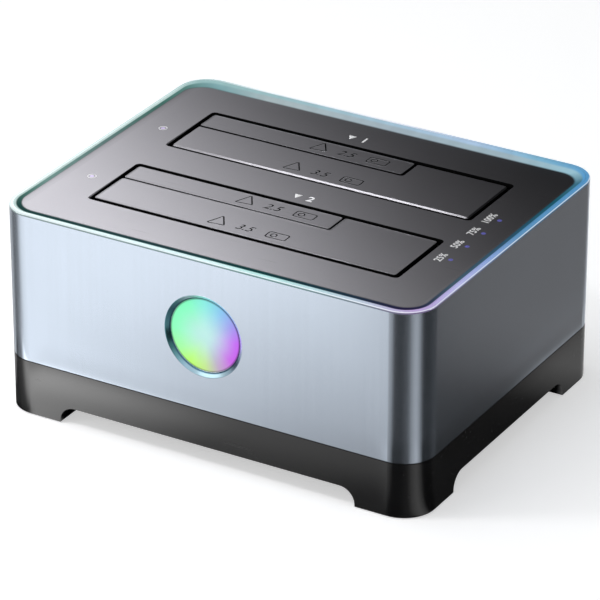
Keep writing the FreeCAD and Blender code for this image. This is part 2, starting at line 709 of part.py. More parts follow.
def make_hinge_lugs(body):
    """Lugs under the cover that hold the hinge pins, with gaps for arms and springs."""
    outer = f"({FLAP_RIGHT} - arm_inset + arm_play + lug_length)"
    for name, sign in BAYS.items():
        axis = f"({sign} * bay_pitch / 2 + {AXIS_Y})"
        lugs = Outline(body, f"{name}_lugs", "YZ_Plane", f"-{outer}")
        lug_profile(lugs, axis)
        pad(body, lugs, f"2 * {outer}")
    small_left, small_right, large_left, large_right = arm_starts()
    gaps = Outline(body, "lug_gaps", offset=COVER_UNDER)
    for sign in BAYS.values():
        axis = f"({sign} * bay_pitch / 2 + {AXIS_Y})"
        for left, right in ((small_left, small_right), (large_left, large_right)):
            gaps.rectangle(f"{left} - arm_play", f"{right} + arm_thickness + arm_play",
                           f"{axis} - lug_radius - 0.1", f"{axis} + lug_radius + 0.1")
    pocket(body, gaps, "pivot_drop + lug_radius")


def lug_profile(outline, axis):
    """Hanging lug with a round end about the pin hole."""
    y, z, r, top = number(axis), number(PIVOT_HEIGHT), number("lug_radius"), number(COVER_UNDER)
    left = outline.line((y - r, top), (y - r, z))
    below = outline.arc((y, z), r, 180, 360)
    right = outline.line((y + r, z), (y + r, top))
    across = outline.line((y + r, top), (y - r, top))
    outline.rule("Coincident", left, 2, below, 1)
    outline.rule("Coincident", below, 2, right, 1)
    outline.rule("Coincident", right, 2, across, 1)
    outline.rule("Coincident", across, 2, left, 1)
    outline.place(below, 3, y=PIVOT_HEIGHT)
    outline.place(left, 1, f"{axis} - lug_radius", COVER_UNDER)
    outline.place(left, 2, f"{axis} - lug_radius", PIVOT_HEIGHT)
    outline.place(right, 1, f"{axis} + lug_radius", PIVOT_HEIGHT)
    outline.place(right, 2, f"{axis} + lug_radius", COVER_UNDER)
    outline.circle(axis, PIVOT_HEIGHT, "pin_radius + pin_seat")


def make_liner(name, sign):
    """Well of one bay: guides the drive and leaves a pocket behind for the open flaps."""
    body = new_body(f"{name}_bay_liner")
    move(body, y=f"{sign} * bay_pitch / 2")
    inside = ("-bay_length / 2", "bay_length / 2", "-bay_depth / 2", WELL_BACK)
    outside = ("-bay_length / 2 - liner_wall", "bay_length / 2 + liner_wall",
               "-bay_depth / 2 - liner_wall", f"{WELL_BACK} + liner_wall")
    shell = Outline(body, f"{name}_well", offset="liner_bottom")
    pad(body, shell.rounded(*outside, "bay_radius + liner_wall"), f"{COVER_UNDER} - liner_bottom")
    room = Outline(body, f"{name}_room", offset=COVER_UNDER).rounded(*inside, "bay_radius")
    pocket(body, room, f"{COVER_UNDER} - liner_bottom - liner_wall")
    cut_back = Outline(body, f"{name}_headroom", offset=COVER_UNDER)
    cut_back.rectangle("-bay_length / 2", "bay_length / 2", f"{WELL_BACK} - 2", f"{WELL_BACK} + liner_wall + 1")
    pocket(body, cut_back, f"{COVER_UNDER} - {PIVOT_HEIGHT} + hinge_headroom")
    notches = Outline(body, f"{name}_notches", offset=f"{PIVOT_HEIGHT} - hinge_headroom")
    for start in arm_starts():
        notches.rectangle(f"{start} - notch_play", f"{start} + arm_thickness + notch_play",
                          f"{WELL_BACK} - 1", f"{WELL_BACK} + liner_wall + 1")
    pocket(body, notches, "arm_reach + notch_play - hinge_headroom")
    mouth = Outline(body, f"{name}_mouth", offset="liner_bottom + liner_wall")
    length = "(connector_length / 2 + connector_play)"
    width = "(connector_width / 2 + connector_play)"
    mouth.rectangle(f"connector_x - {length}", f"connector_x + {length}",
                    f"{CONNECTOR_Y} - {width}", f"{CONNECTOR_Y} + {width}")
    pocket(body, mouth, "liner_wall + 1")
    side = "(bay_length / 2 + liner_wall)"
    tabs = Outline(body, f"{name}_tabs", offset=f"{COVER_UNDER} - tab_drop - tab_thickness")
    tabs.rectangle(f"-{side} - tab_length", f"-{side} + 0.5", "-tab_half_width", "tab_half_width")
    tabs.rectangle(f"{side} - 0.5", f"{side} + tab_length", "-tab_half_width", "tab_half_width")
    pad(body, tabs, "tab_thickness")
    holes = Outline(body, f"{name}_tab_holes", offset=f"{COVER_UNDER} - tab_drop")
    for way in (-1, 1):
        square(holes, f"{way} * ({side} + tab_length / 2)", "0", "stake_size + 2 * stake_play")
    pocket(body, holes, "tab_thickness + 1")
    guides = Outline(body, f"{name}_guides", offset="liner_bottom + liner_wall / 2")
    for way in (-1, 1):
        for y in ("(-bay_depth / 4)", "(bay_depth / 4)"):
            edges = (f"{way} * (bay_length / 2 - guide_proud)", f"{way} * (bay_length / 2 + liner_wall / 2)")
            left, right = edges if way > 0 else edges[::-1]
            guides.rectangle(left, right, f"{y} - guide_length / 2", f"{y} + guide_length / 2")
    pad(body, guides, f"{PIVOT_HEIGHT} - arm_reach - liner_bottom")


def arm_profile(outline):
    """Side view of a hinge arm about its axis: knuckle, neck under the cover, foot on the flap."""
    radius, reach = number("knuckle_radius"), number("arm_reach")
    under, neck = number("pivot_drop - flap_thickness"), number("pivot_back + 2 * flap_gap")
    points = [(0, radius), (-neck, radius), (-neck, under), (-reach, under), (-reach, under / 2), (0, -radius)]
    corners = (("0", "knuckle_radius"), ("-pivot_back - 2 * flap_gap", "knuckle_radius"),
               ("-pivot_back - 2 * flap_gap", "pivot_drop - flap_thickness + arm_weld"),
               ("-arm_reach", "pivot_drop - flap_thickness + arm_weld"),
               ("-arm_reach", "(pivot_drop - flap_thickness) / 2"), ("0", "-knuckle_radius"))
    lines = [outline.line(*pair) for pair in zip(points, points[1:])]
    knuckle = outline.arc((0, 0), radius, -90, 90)
    for line, following in zip(lines, lines[1:]):
        outline.rule("Coincident", line, 2, following, 1)
    outline.rule("Coincident", lines[-1], 2, knuckle, 1)
    outline.rule("Coincident", knuckle, 2, lines[0], 1)
    for line, (x, y) in zip(lines, corners):
        outline.place(line, 1, x, y)
    outline.place(knuckle, 1, *corners[-1])
    outline.place(knuckle, 3, x="0")
    outline.circle("0", "0", "pin_radius + hinge_clearance")


def finish_flap(body, name, sign, arms):
    """Round the plate of a flap, add its two arms and set it on its hinge axis."""
    soften(body, "Fillet", "flap_corner", upright)
    top = number("pivot_drop")
    soften(body, "Chamfer", "flap_rounding", lambda edge: level_at(edge, top))
    for index, start in enumerate(arms):
        arm = Outline(body, f"{name}_arm{index}", "YZ_Plane", start)
        arm_profile(arm)
        pad(body, arm, "arm_thickness")
    move(body, y=f"{sign} * bay_pitch / 2 + {AXIS_Y}", z=PIVOT_HEIGHT)


def make_flaps(name, sign):
    """Small flap for 2.5 inch drives at the back left, L-shaped large flap round it."""
    back = "(-pivot_back - flap_gap)"
    small_front = f"({back} - small_flap_depth)"
    large_front = "(-pivot_back - bay_depth + flap_gap)"
    arms = arm_starts()
    small = new_body(f"{name}_small_flap")
    plate = Outline(small, f"{name}_small_plate", offset="pivot_drop - flap_thickness")
    pad(small, plate.rectangle(FLAP_LEFT, SMALL_RIGHT, small_front, back), "flap_thickness")
    finish_flap(small, f"{name}_small", sign, arms[:2])
    large = new_body(f"{name}_large_flap")
    plate = Outline(large, f"{name}_large_plate", offset="pivot_drop - flap_thickness")
    plate.polygon((
        (FLAP_LEFT, large_front),
        (FLAP_RIGHT, large_front),
        (FLAP_RIGHT, back),
        (LARGE_LEFT, back),
        (LARGE_LEFT, f"{small_front} - split_gap"),
        (FLAP_LEFT, f"{small_front} - split_gap")))
    pad(large, plate, "flap_thickness")
    finish_flap(large, f"{name}_large", sign, arms[2:])


def make_hinge_pin(name, sign):
    """Steel pin through the lugs of the cover and the knuckles of both flaps."""
    body = new_body(f"{name}_hinge_pin")
    half = f"({FLAP_RIGHT} - arm_inset + arm_play + lug_length)"
    section = Outline(body, f"{name}_pin_section", "YZ_Plane", f"-{half}").circle("0", "0", "pin_radius")
    pad(body, section, f"2 * {half}")
    move(body, y=f"{sign} * bay_pitch / 2 + {AXIS_Y}", z=PIVOT_HEIGHT)


def make_spring(label, sign, arm):
    """Torsion spring wound round the hinge pin beside an arm."""
    helix = doc.addObject("Part::Helix", label + "_helix")
    bind(helix, "Pitch", "spring_pitch")
    bind(helix, "Height", "spring_length - 2 * wire_radius")
    bind(helix, "Radius", "spring_radius")
    wire = doc.addObject("Part::RegularPolygon", label + "_wire")
    wire.Polygon = 4
    bind(wire, "Circumradius", "wire_radius")
    wire.Placement.Rotation = FreeCAD.Rotation(FreeCAD.Vector(1, 0, 0), 90)
    move(wire, x="spring_radius")
    coil = doc.addObject("Part::Sweep", label)
    coil.Sections = [wire]
    coil.Spine = (helix, [])
    coil.Solid = True
    coil.Frenet = True
    coil.Placement.Rotation = FreeCAD.Rotation(FreeCAD.Vector(0, 1, 0), 90)
    move(coil, f"{arm} + arm_thickness + 1.5 * arm_play + wire_radius",
         f"{sign} * bay_pitch / 2 + {AXIS_Y}", PIVOT_HEIGHT)
    node(coil, label)


def make_connector(name, sign):
    """Drive connector: a seven-contact and a fifteen-contact slot, each keyed like an L."""
    body = new_body(f"{name}_drive_connector")
    housing = Outline(body, f"{name}_housing")
    half = "(connector_length / 2)"
    pad(body, housing.rectangle(f"-{half}", half, "-connector_width / 2", "connector_width / 2"),
        "connector_height")
    slots = Outline(body, f"{name}_slots", offset="connector_height")
    for start, length in connector_slots():
        end = f"({start} + {length})"
        slots.polygon((
            (start, "-slot_width / 2"),
            (end, "-slot_width / 2"),
            (end, "slot_width / 2"),
            (f"({start} + key_width)", "slot_width / 2"),
            (f"({start} + key_width)", "slot_width / 2 + key_width"),
            (start, "slot_width / 2 + key_width")))
    pocket(body, slots, "slot_depth")
    soften(body, "Chamfer", "key_width / 4", upright_ends)
    y = f"({sign} * bay_pitch / 2 + {CONNECTOR_Y})"
    move(body, "connector_x", y, BOARD_TOP)
    blades = []
    for slot, (count, (start, _)) in enumerate(zip((7, 15), connector_slots())):
        for index in range(count):
            x = f"(connector_x + {start} + key_width + 1 + {index} * contact_pitch)"
            blades.append(block(f"{name}_blade_{slot}_{index}", x,
                                f"({y} - slot_width / 2 + contact_thickness / 2)",
                                f"{BOARD_TOP} + connector_height - slot_depth",
                                "contact_width", "contact_thickness", "slot_depth - 0.5"))
    group(f"{name}_connector_contacts", blades)


def connector_slots():
    """Start and length of the data slot and of the power slot."""
    total = "(data_slot_length + slot_spacing + power_slot_length)"
    return ((f"(-{total} / 2)", "data_slot_length"),
            (f"(-{total} / 2 + data_slot_length + slot_spacing)", "power_slot_length"))


def upright_ends(edge):
    """True for the upright edges at the two ends of the connector."""
    return upright(edge) and near(abs(edge.BoundBox.XMin), number("connector_length / 2"))


def make_main_board():
    """Main board, clamped between the bosses of the base and the posts of the cover."""
    body = new_body("main_board")
    x = f"({HALF_WIDTH} - {BOARD_INSET})"
    y = f"({HALF_DEPTH} - {BOARD_INSET})"
    outline = Outline(body, "board_outline", offset="board_height")
    pad(body, outline.rounded(f"-{x}", x, f"-{y}", y, "board_radius"), "board_thickness")
    holes = Outline(body, "board_holes", offset=BOARD_TOP)
    holes.corner_circles(POST_X, POST_Y, "screw_radius + screw_clearance")
    pocket(body, holes, "board_thickness + 1")


def make_board_parts():
    """Chips, coils and capacitors on the main board."""
    group("bridge_chips", [block(f"bridge_chip_{name}", "28", f"{sign} * bay_pitch / 2", BOARD_TOP,
                                 "10", "10", "chip_height") for name, sign in BAYS.items()])
    node(block("controller", "28", "0", BOARD_TOP, "12", "12", "chip_height"), "controller_chip")
    node(block("flash", "12", "0", BOARD_TOP, "8", "6", "chip_height"), "flash_chip")
    group("capacitors", [rod(f"capacitor_{index}", "-60.5", f"{index} * 8 - 12", BOARD_TOP,
                             "capacitor_radius", "capacitor_height") for index in (0, 1)])
    group("inductors", [block(f"inductor_{index}", "60", f"{index} * 9 - 4.5", BOARD_TOP,
                              "6.5", "6.5", "3") for index in (0, 1)])


def face_place(distance):
    """Place behind the back face of the case, on a sketch of the YZ plane."""
    return f"({HALF_DEPTH} - ({distance}))"


def make_usb():
    """Reversible data port: metal mouth with a tongue in it."""
    body = new_body("usb_socket")
    half = "(usb_width / 2)"
    outside = (f"usb_x - {half}", f"usb_x + {half}", BOARD_TOP, f"{BOARD_TOP} + usb_height")
    inside = (f"usb_x - {half} + usb_wall", f"usb_x + {half} - usb_wall",
              f"{BOARD_TOP} + usb_wall", f"{BOARD_TOP} + usb_height - usb_wall")
    mouth = Outline(body, "usb_mouth", "XZ_Plane", f"-{face_place('port_recess')}")
    pad(body, mouth.rounded(*outside, "usb_radius"), "usb_length")
    cavity = Outline(body, "usb_cavity", "XZ_Plane", f"-{face_place('port_recess')} - 1")
    cavity.rounded(*inside, "usb_radius - usb_wall")
    pocket(body, cavity, "usb_length - 1", backwards=True)
    middle = f"({BOARD_TOP} + usb_height / 2)"
    node(block("tongue", "usb_x", face_place("(port_recess + usb_length / 2 - 0.5)"),
               f"{middle} - tongue_height / 2", "tongue_width", "usb_length - 3", "tongue_height"),
         "usb_tongue")


def make_jack():
    """Round power jack with its centre pin."""
    body = new_body("power_jack")
    wall = face_place("shell_wall + port_clearance")
    height = f"(port_height + jack_width / 2 - {BOARD_TOP})"
    back = Outline(body, "jack_body", offset=BOARD_TOP)
    back.rectangle("jack_x - jack_width / 2", "jack_x + jack_width / 2", f"{wall} - jack_length", wall)
    pad(body, back, height)
    nose = Outline(body, "jack_nose", "XZ_Plane", f"-{face_place('port_recess')}")
    nose.circle("jack_x", "port_height", "jack_nose_radius")
    pad(body, nose, "shell_wall + 2 * port_clearance")
    bore = Outline(body, "jack_hole", "XZ_Plane", f"-{face_place('port_recess')} - 1")
    bore.circle("jack_x", "port_height", "jack_bore")
    pocket(body, bore, "jack_bore_depth + 1", backwards=True)
    pin = new_body("power_jack_pin")
    tip = Outline(pin, "jack_pin", "XZ_Plane", f"-{face_place('(port_recess + 1)')}")
    tip.circle("jack_x", "port_height", "jack_pin_radius")
    pad(pin, tip, "jack_bore_depth - 1")
    end = number(face_place("(port_recess + 1)"))
    soften(pin, "Chamfer", "jack_pin_radius / 2",
           lambda edge: near(edge.BoundBox.YMin, end) and near(edge.BoundBox.YMax, end))


def make_button(name, x, radius, travel):
    """Push button through the back of the sleeve, and its switch on the board."""
    body = new_body(f"{name}_button")
    cap = Outline(body, f"{name}_cap", "XZ_Plane", f"-{HALF_DEPTH}").circle(x, "port_height", radius)
    pad(body, cap, "shell_wall + 2 * button_play")
    collar = Outline(body, f"{name}_collar", "XZ_Plane", f"-{face_place('(shell_wall + button_play)')}")
    collar.circle(x, "port_height", f"{radius} + button_flange")
    pad(body, collar, "button_flange")
    stem = Outline(body, f"{name}_stem", "XZ_Plane", f"-{face_place('(shell_wall + button_play)')}")
    square(stem, x, "port_height", "stem_size")
    gap = f"({travel} + button_flange + button_play)"
    pad(body, stem, f"{gap} + 1")
    outer = number(HALF_DEPTH)
    soften(body, "Chamfer", "button_flange / 2",
           lambda edge: near(edge.BoundBox.YMin, outer) and near(edge.BoundBox.YMax, outer))
    switch = new_body(f"{name}_switch")
    start = f"(shell_wall + button_play + {gap})"
    housing = Outline(switch, f"{name}_housing", offset=BOARD_TOP)
    housing.rectangle(f"{x} - switch_width / 2", f"{x} + switch_width / 2",
                      face_place(f"({start} + switch_length)"), face_place(start))
    pad(switch, housing, f"port_height + switch_width / 2 - {BOARD_TOP}")
    bore = Outline(switch, f"{name}_bore", "XZ_Plane", f"-{face_place(start)} - 1")
    square(bore, x, "port_height", "stem_size + 2 * stem_play")
    pocket(switch, bore, f"{travel} + 3", backwards=True)


def make_window():
    """Round diffuser in the front, with its reflector cup and its own light board."""
    lens = new_body("front_lens")
    profile = Outline(lens, "lens_profile", "YZ_Plane")
    axis_line(profile, "window_height")
    face = f"({front('window_recess')})"
    back = front("(shell_wall + lens_flange_thickness)")
    edge = "(window_height + window_radius - lens_clearance)"
    rim = "(window_height + window_radius + lens_flange)"
    profile.polygon((
        (face, "window_height"),
        (face, edge),
        (front("shell_wall"), edge),
        (front("shell_wall"), rim),
        (back, rim),
        (back, "window_height")))
    turn(lens, profile)
    cup = new_body("lens_reflector")
    outline = Outline(cup, "cup_section", "XZ_Plane", f"-{back}")
    square(outline, "0", "window_height", "2 * (window_radius + lens_flange)")
    square(outline, "0", "window_height", "2 * (window_radius + lens_flange - reflector_wall)")
    pad(cup, outline, "reflector_length", backwards=True)
    board = new_body("lens_light_board")
    behind = f"({back} + reflector_length)"
    plate = Outline(board, "lens_board_plate", "XZ_Plane", f"-{behind}")
    square(plate, "0", "window_height", "2 * (window_radius + lens_flange)")
    pad(board, plate, "lens_board_thickness", backwards=True)
    lamps = []
    for index in range(6):
        angle = math.radians(60 * index)
        lamps.append(block(f"lens_lamp_{index}", f"window_radius / 2 * {math.cos(angle):.4f}",
                           f"{behind} - lamp_height / 2",
                           f"window_height + window_radius / 2 * {math.sin(angle):.4f} - lamp_size / 2",
                           "lamp_size", "lamp_height", "lamp_size"))
    group("lens_lights", lamps)


def progress_places():
    """The four progress lights, from front to back."""
    return [f"(progress_middle + {step} * progress_pitch)" for step in (-1.5, -0.5, 0.5, 1.5)]


def bay_light_places():
    """The two bay lights, front and rear."""
    return [f"(bay_light_shift + {sign} * bay_light_pitch / 2)" for sign in (-1, 1)]


def make_light_set(name, x, places, radius, shift):
    """Light pipes in the cover, with a small board and a lamp below each of them."""
    pipes = [rod(f"{name}_pipe_{index}", x, y, f"{COVER_TOP} - pipe_length", radius, "pipe_length")
             for index, y in enumerate(places)]
    group(f"{name}_light_pipes", pipes)
    lamps = [block(f"{name}_lamp_{index}", x, y, LIGHT_BOARD_TOP, "lamp_size", "lamp_size", "lamp_height")
             for index, y in enumerate(places)]
    group(f"{name}_lights", lamps)
    board = new_body(f"{name}_light_board")
    outline = Outline(board, f"{name}_board", offset=LIGHT_BOARD_TOP)
    middle = f"({x} + {shift})"
    outline.rectangle(f"{middle} - light_board_width / 2", f"{middle} + light_board_width / 2",
                      f"{places[0]} - light_board_margin", f"{places[-1]} + light_board_margin")
    pad(board, outline, "light_board_thickness", backwards=True)
    holes = Outline(board, f"{name}_board_holes", offset=LIGHT_BOARD_TOP)
    for stake_x, y in light_stake_places():
        if (number(stake_x) > 0) == (number(x) > 0):
            square(holes, stake_x, y, "stake_size + 2 * stake_play")
    pocket(board, holes, "light_board_thickness + 1")


def make_ring_strip():
    """Strip board of the light ring, under the border of the cover, with side-facing lamps."""
    body = new_body("ring_light_board")
    start = f"({SKIRT_INSET} + skirt_wall + strip_offset)"
    outline = Outline(body, "strip", offset=COVER_UNDER)
    outline.inset(start).inset(f"({start} + strip_width)")
    pad(body, outline, "strip_thickness", backwards=True)
    lamps = []
    middle = f"({start} + lamp_size / 2)"
    below = f"({COVER_UNDER} - strip_thickness - lamp_height)"
    for side in (-1, 1):
        for step in range(-4, 5):
            lamps.append(block(f"ring_lamp_x_{side + 1}_{step + 4}", f"{step} * lamp_pitch",
                               f"{side} * ({HALF_DEPTH} - {middle})", below,
                               "lamp_size", "lamp_size", "lamp_height"))
        for step in range(-3, 4):
            lamps.append(block(f"ring_lamp_y_{side + 1}_{step + 3}", f"{side} * ({HALF_WIDTH} - {middle})",
                               f"{step} * lamp_pitch", below, "lamp_size", "lamp_size", "lamp_height"))
    group("ring_lights", lamps)


def make_cables():
    """Flat inner cables that run straight down to sockets on the main board."""
    strip_y = f"({SKIRT_INSET} + skirt_wall + strip_offset + strip_width / 2)"
    ring_x = f"({HALF_WIDTH} - {strip_y})"
    lens_y = front("(shell_wall + lens_flange_thickness + reflector_length + lens_board_thickness"
                   " + cable_thickness / 2)")
    foot = f"({BOARD_TOP} + socket_height)"
    node(block("ring_ribbon", f"-{ring_x}", "lamp_pitch / 2", foot, "cable_thickness", "cable_width",
               f"{COVER_UNDER} - strip_thickness - {foot}"), "ring_cable")
    node(block("lens_ribbon", "0", lens_y, foot, "cable_width", "cable_thickness",
               f"window_height - {foot}"), "lens_cable")
    group("cable_sockets", [
        block("ring_cable_socket", f"-{ring_x}", "lamp_pitch / 2", BOARD_TOP, "2", "cable_width + 2",
              "socket_height"),
        block("lens_cable_socket", "0", lens_y, BOARD_TOP, "cable_width + 2", "3", "socket_height")])


def make_screws():
    """Corner screws, up through the base and the main board into the posts of the cover."""
    reach = f"({BOARD_TOP} + screw_reach - screw_seat)"
    screws = []
    for index, (sign_x, sign_y) in enumerate(CORNERS):
        x, y = f"{sign_x} * {POST_X}", f"{sign_y} * {POST_Y}"
        head = rod(f"screw_head_{index}", x, y, "screw_seat - screw_head_height", "screw_head_radius",
                   "screw_head_height")
        shank = rod(f"screw_shank_{index}", x, y, "screw_seat", "screw_radius", reach)
        screws.append(fused(f"base_screw_{index}", [head, shank]))
    group("base_screws", screws)


def write_parts():
    """Check every object, then write one file for each node."""
    doc.recompute()
    for item in doc.Objects:
        if {"Invalid", "Error"} & set(item.State):
            raise ValueError(f"{item.Name} failed: {item.State}")
    for item in nodes:
        if item.Shape.isNull() or not item.Shape.isValid() or not item.Shape.Solids:
            raise ValueError(item.Label + " has no valid solid")
    os.makedirs("parts", exist_ok=True)
    for item in nodes:
        item.Shape.exportStep(f"parts/{item.Label}.step")
    print(len(nodes), "nodes written")


fill_sheet()
make_shell()
make_base()
make_foot_pads()
make_light_ring()
make_cover()
for bay, side_of_middle in BAYS.items():
    make_liner(bay, side_of_middle)
    make_flaps(bay, side_of_middle)
    make_hinge_pin(bay, side_of_middle)
    make_spring(f"{bay}_small_spring", side_of_middle, arm_starts()[0])
    make_spring(f"{bay}_large_spring", side_of_middle, arm_starts()[2])
    make_connector(bay, side_of_middle)
make_main_board()
make_board_parts()
make_usb()
make_jack()
make_button("power", "power_button_x", "power_button_radius", "power_travel")
make_button("clone", "clone_button_x", "clone_button_radius", "clone_travel")
make_window()
make_light_set("progress", "progress_x", progress_places(), "pipe_radius", "1")
make_light_set("bay", "bay_light_x", bay_light_places(), "bay_pipe_radius", "-1.4")
make_ring_strip()
make_cables()
make_screws()
write_parts()
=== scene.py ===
"""Looks of a two-bay drive dock, made around its packed construction model.

The construction model gives every rigid part of the dock. This script gives each part its finish.
It adds the marks in the flaps, drawn as painted shade over a painted highlight, the prints on the
cover, black skins of painted shade in the gaps of the openings and the flaps, a painted glow,
reflection and shade on the border of the cover and a painted reflection on the bevel round the
lens, and it sets up the floor, the lamps and the camera. Lengths are in metres, in the frame of
the construction model: X to the right along the front, Y to the back, Z up from the surface that
the dock stands on.
"""
import logging
import math
from dataclasses import dataclass, field
from enum import Enum
from functools import cache, reduce

import bpy
import numpy as np
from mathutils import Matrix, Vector


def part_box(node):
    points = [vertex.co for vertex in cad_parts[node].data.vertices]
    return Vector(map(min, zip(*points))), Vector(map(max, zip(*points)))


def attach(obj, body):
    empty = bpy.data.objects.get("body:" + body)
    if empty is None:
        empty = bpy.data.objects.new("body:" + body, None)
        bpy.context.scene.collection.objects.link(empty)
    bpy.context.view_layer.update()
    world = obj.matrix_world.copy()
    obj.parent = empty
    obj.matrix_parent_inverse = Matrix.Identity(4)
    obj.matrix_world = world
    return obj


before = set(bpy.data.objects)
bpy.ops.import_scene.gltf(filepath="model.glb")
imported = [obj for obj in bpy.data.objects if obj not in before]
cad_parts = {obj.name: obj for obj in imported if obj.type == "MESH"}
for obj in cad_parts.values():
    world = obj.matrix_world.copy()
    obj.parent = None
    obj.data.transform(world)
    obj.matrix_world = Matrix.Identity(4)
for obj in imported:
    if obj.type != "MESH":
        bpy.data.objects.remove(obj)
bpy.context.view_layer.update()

MM = 0.001

log = logging.getLogger("drive_dock")

Colour = tuple[float, float, float]
Point = tuple[float, float, float]
Pair = tuple[float, float]
Stops = tuple[tuple[float, Colour], ...]
Output = bpy.types.NodeSocket
Value = Output | float | tuple


# -------------------- Colours --------------------


def seen(red: int, green: int, blue: int) -> Colour:
    """The linear colour of a display colour.

    Args:
        red, green, blue: parts of the display colour, from 0 to 255.

    Returns:
        The linear colour: each part over 255, then to the power of the display curve.
    """

    def linear(part: int) -> float:
        """One part of the colour."""
        share = part / 255
        return share / 12.92 if share <= 0.04045 else ((share + 0.055) / 1.055) ** 2.4

    return linear(red), linear(green), linear(blue)


def seen_stops(*stops: tuple[float, int, int, int]) -> Stops:
    """Ramp stops of display colours, each a place, a red, a green and a blue."""
    return tuple((place, seen(*parts)) for place, *parts in stops)


def grey_stops(*stops: Pair) -> Stops:
    """Ramp stops of plain greys, each a place and a level."""
    return tuple((place, (level, level, level)) for place, level in stops)


BLACK: Colour = (0.0, 0.0, 0.0)
WHITE: Colour = (1.0, 1.0, 1.0)

# Each table below goes once round: from the left through the front, the right and the back, or
# on the lens from the left through the bottom, the right and the top.

# The top of the light ring, the bright line on its rounding and its dark side.
RING_HUES: Stops = seen_stops(
    (0.0, 197, 219, 216), (0.08, 200, 222, 218), (0.20, 182, 212, 213), (0.26, 178, 213, 213),
    (0.30, 149, 206, 201), (0.34, 156, 196, 201), (0.37, 169, 185, 203), (0.394, 172, 147, 201),
    (0.43, 178, 178, 227), (0.47, 132, 161, 214), (0.51, 90, 144, 187), (0.60, 87, 151, 200),
    (0.63, 123, 176, 204), (0.67, 168, 194, 222), (0.75, 236, 240, 250), (0.86, 234, 244, 248),
    (0.895, 151, 188, 188), (0.92, 190, 215, 212), (1.0, 197, 219, 216),
)
RING_LINE: Colour = (0.9, 0.95, 1.0)
RING_SIDE: Colour = (0.02, 0.03, 0.04)

# Painted glow: the ring's colours painted on the border of the cover, without the white stretch at
# the back.
PAINTED_RING_GLOW: Stops = tuple(stop for stop in RING_HUES if not 0.7 < stop[0] < 0.88)

# Painted reflection and painted shade on the border of the cover, away from the ring.
PAINTED_BORDER_SHADE_AND_REFLECTION: Stops = seen_stops(
    (0.0, 95, 122, 120), (0.07, 112, 146, 141), (0.088, 75, 115, 107), (0.103, 34, 66, 64),
    (0.204, 35, 60, 64), (0.296, 19, 59, 59), (0.366, 32, 50, 64), (0.394, 39, 32, 63),
    (0.43, 67, 89, 103), (0.5, 46, 81, 103), (0.571, 28, 85, 102), (0.595, 60, 110, 130),
    (0.61, 150, 190, 205), (0.641, 156, 178, 188), (0.75, 160, 176, 186), (0.859, 168, 184, 188),
    (0.885, 128, 168, 173), (0.905, 90, 130, 125), (0.93, 66, 107, 99), (1.0, 95, 122, 120),
)

# Painted reflection on the bevel round the lens, dark where it would mirror the lens.
PAINTED_BEZEL_REFLECTION: Stops = (
    (0.0, (0.10, 0.27, 0.31)), (0.083, (0.05, 0.16, 0.17)), (0.125, (0.15, 0.33, 0.38)),
    (0.167, (0.32, 0.50, 0.62)), (0.25, (0.33, 0.47, 0.53)), (0.333, (0.31, 0.44, 0.50)),
    (0.417, (0.14, 0.20, 0.28)), (0.5, (0.56, 0.66, 0.82)), (0.667, (0.55, 0.68, 0.80)),
    (0.75, (0.50, 0.66, 0.74)), (0.82, (0.36, 0.50, 0.56)), (0.875, (0.08, 0.22, 0.24)),
    (0.917, (0.04, 0.11, 0.14)), (1.0, (0.10, 0.27, 0.31)),
)

# The lens near its rim, and its middle.
WHEEL_HUES: Stops = seen_stops(
    (0.0, 140, 253, 188), (0.10, 165, 252, 160), (0.17, 186, 255, 110), (0.25, 196, 232, 140),
    (0.32, 190, 165, 196), (0.40, 200, 96, 230), (0.50, 196, 100, 242), (0.58, 158, 150, 236),
    (0.66, 136, 196, 240), (0.75, 136, 236, 226), (0.84, 128, 252, 192), (1.0, 140, 253, 188),
)
WHEEL_CENTRE = seen(190, 236, 230)


# -------------------- Shader trees --------------------


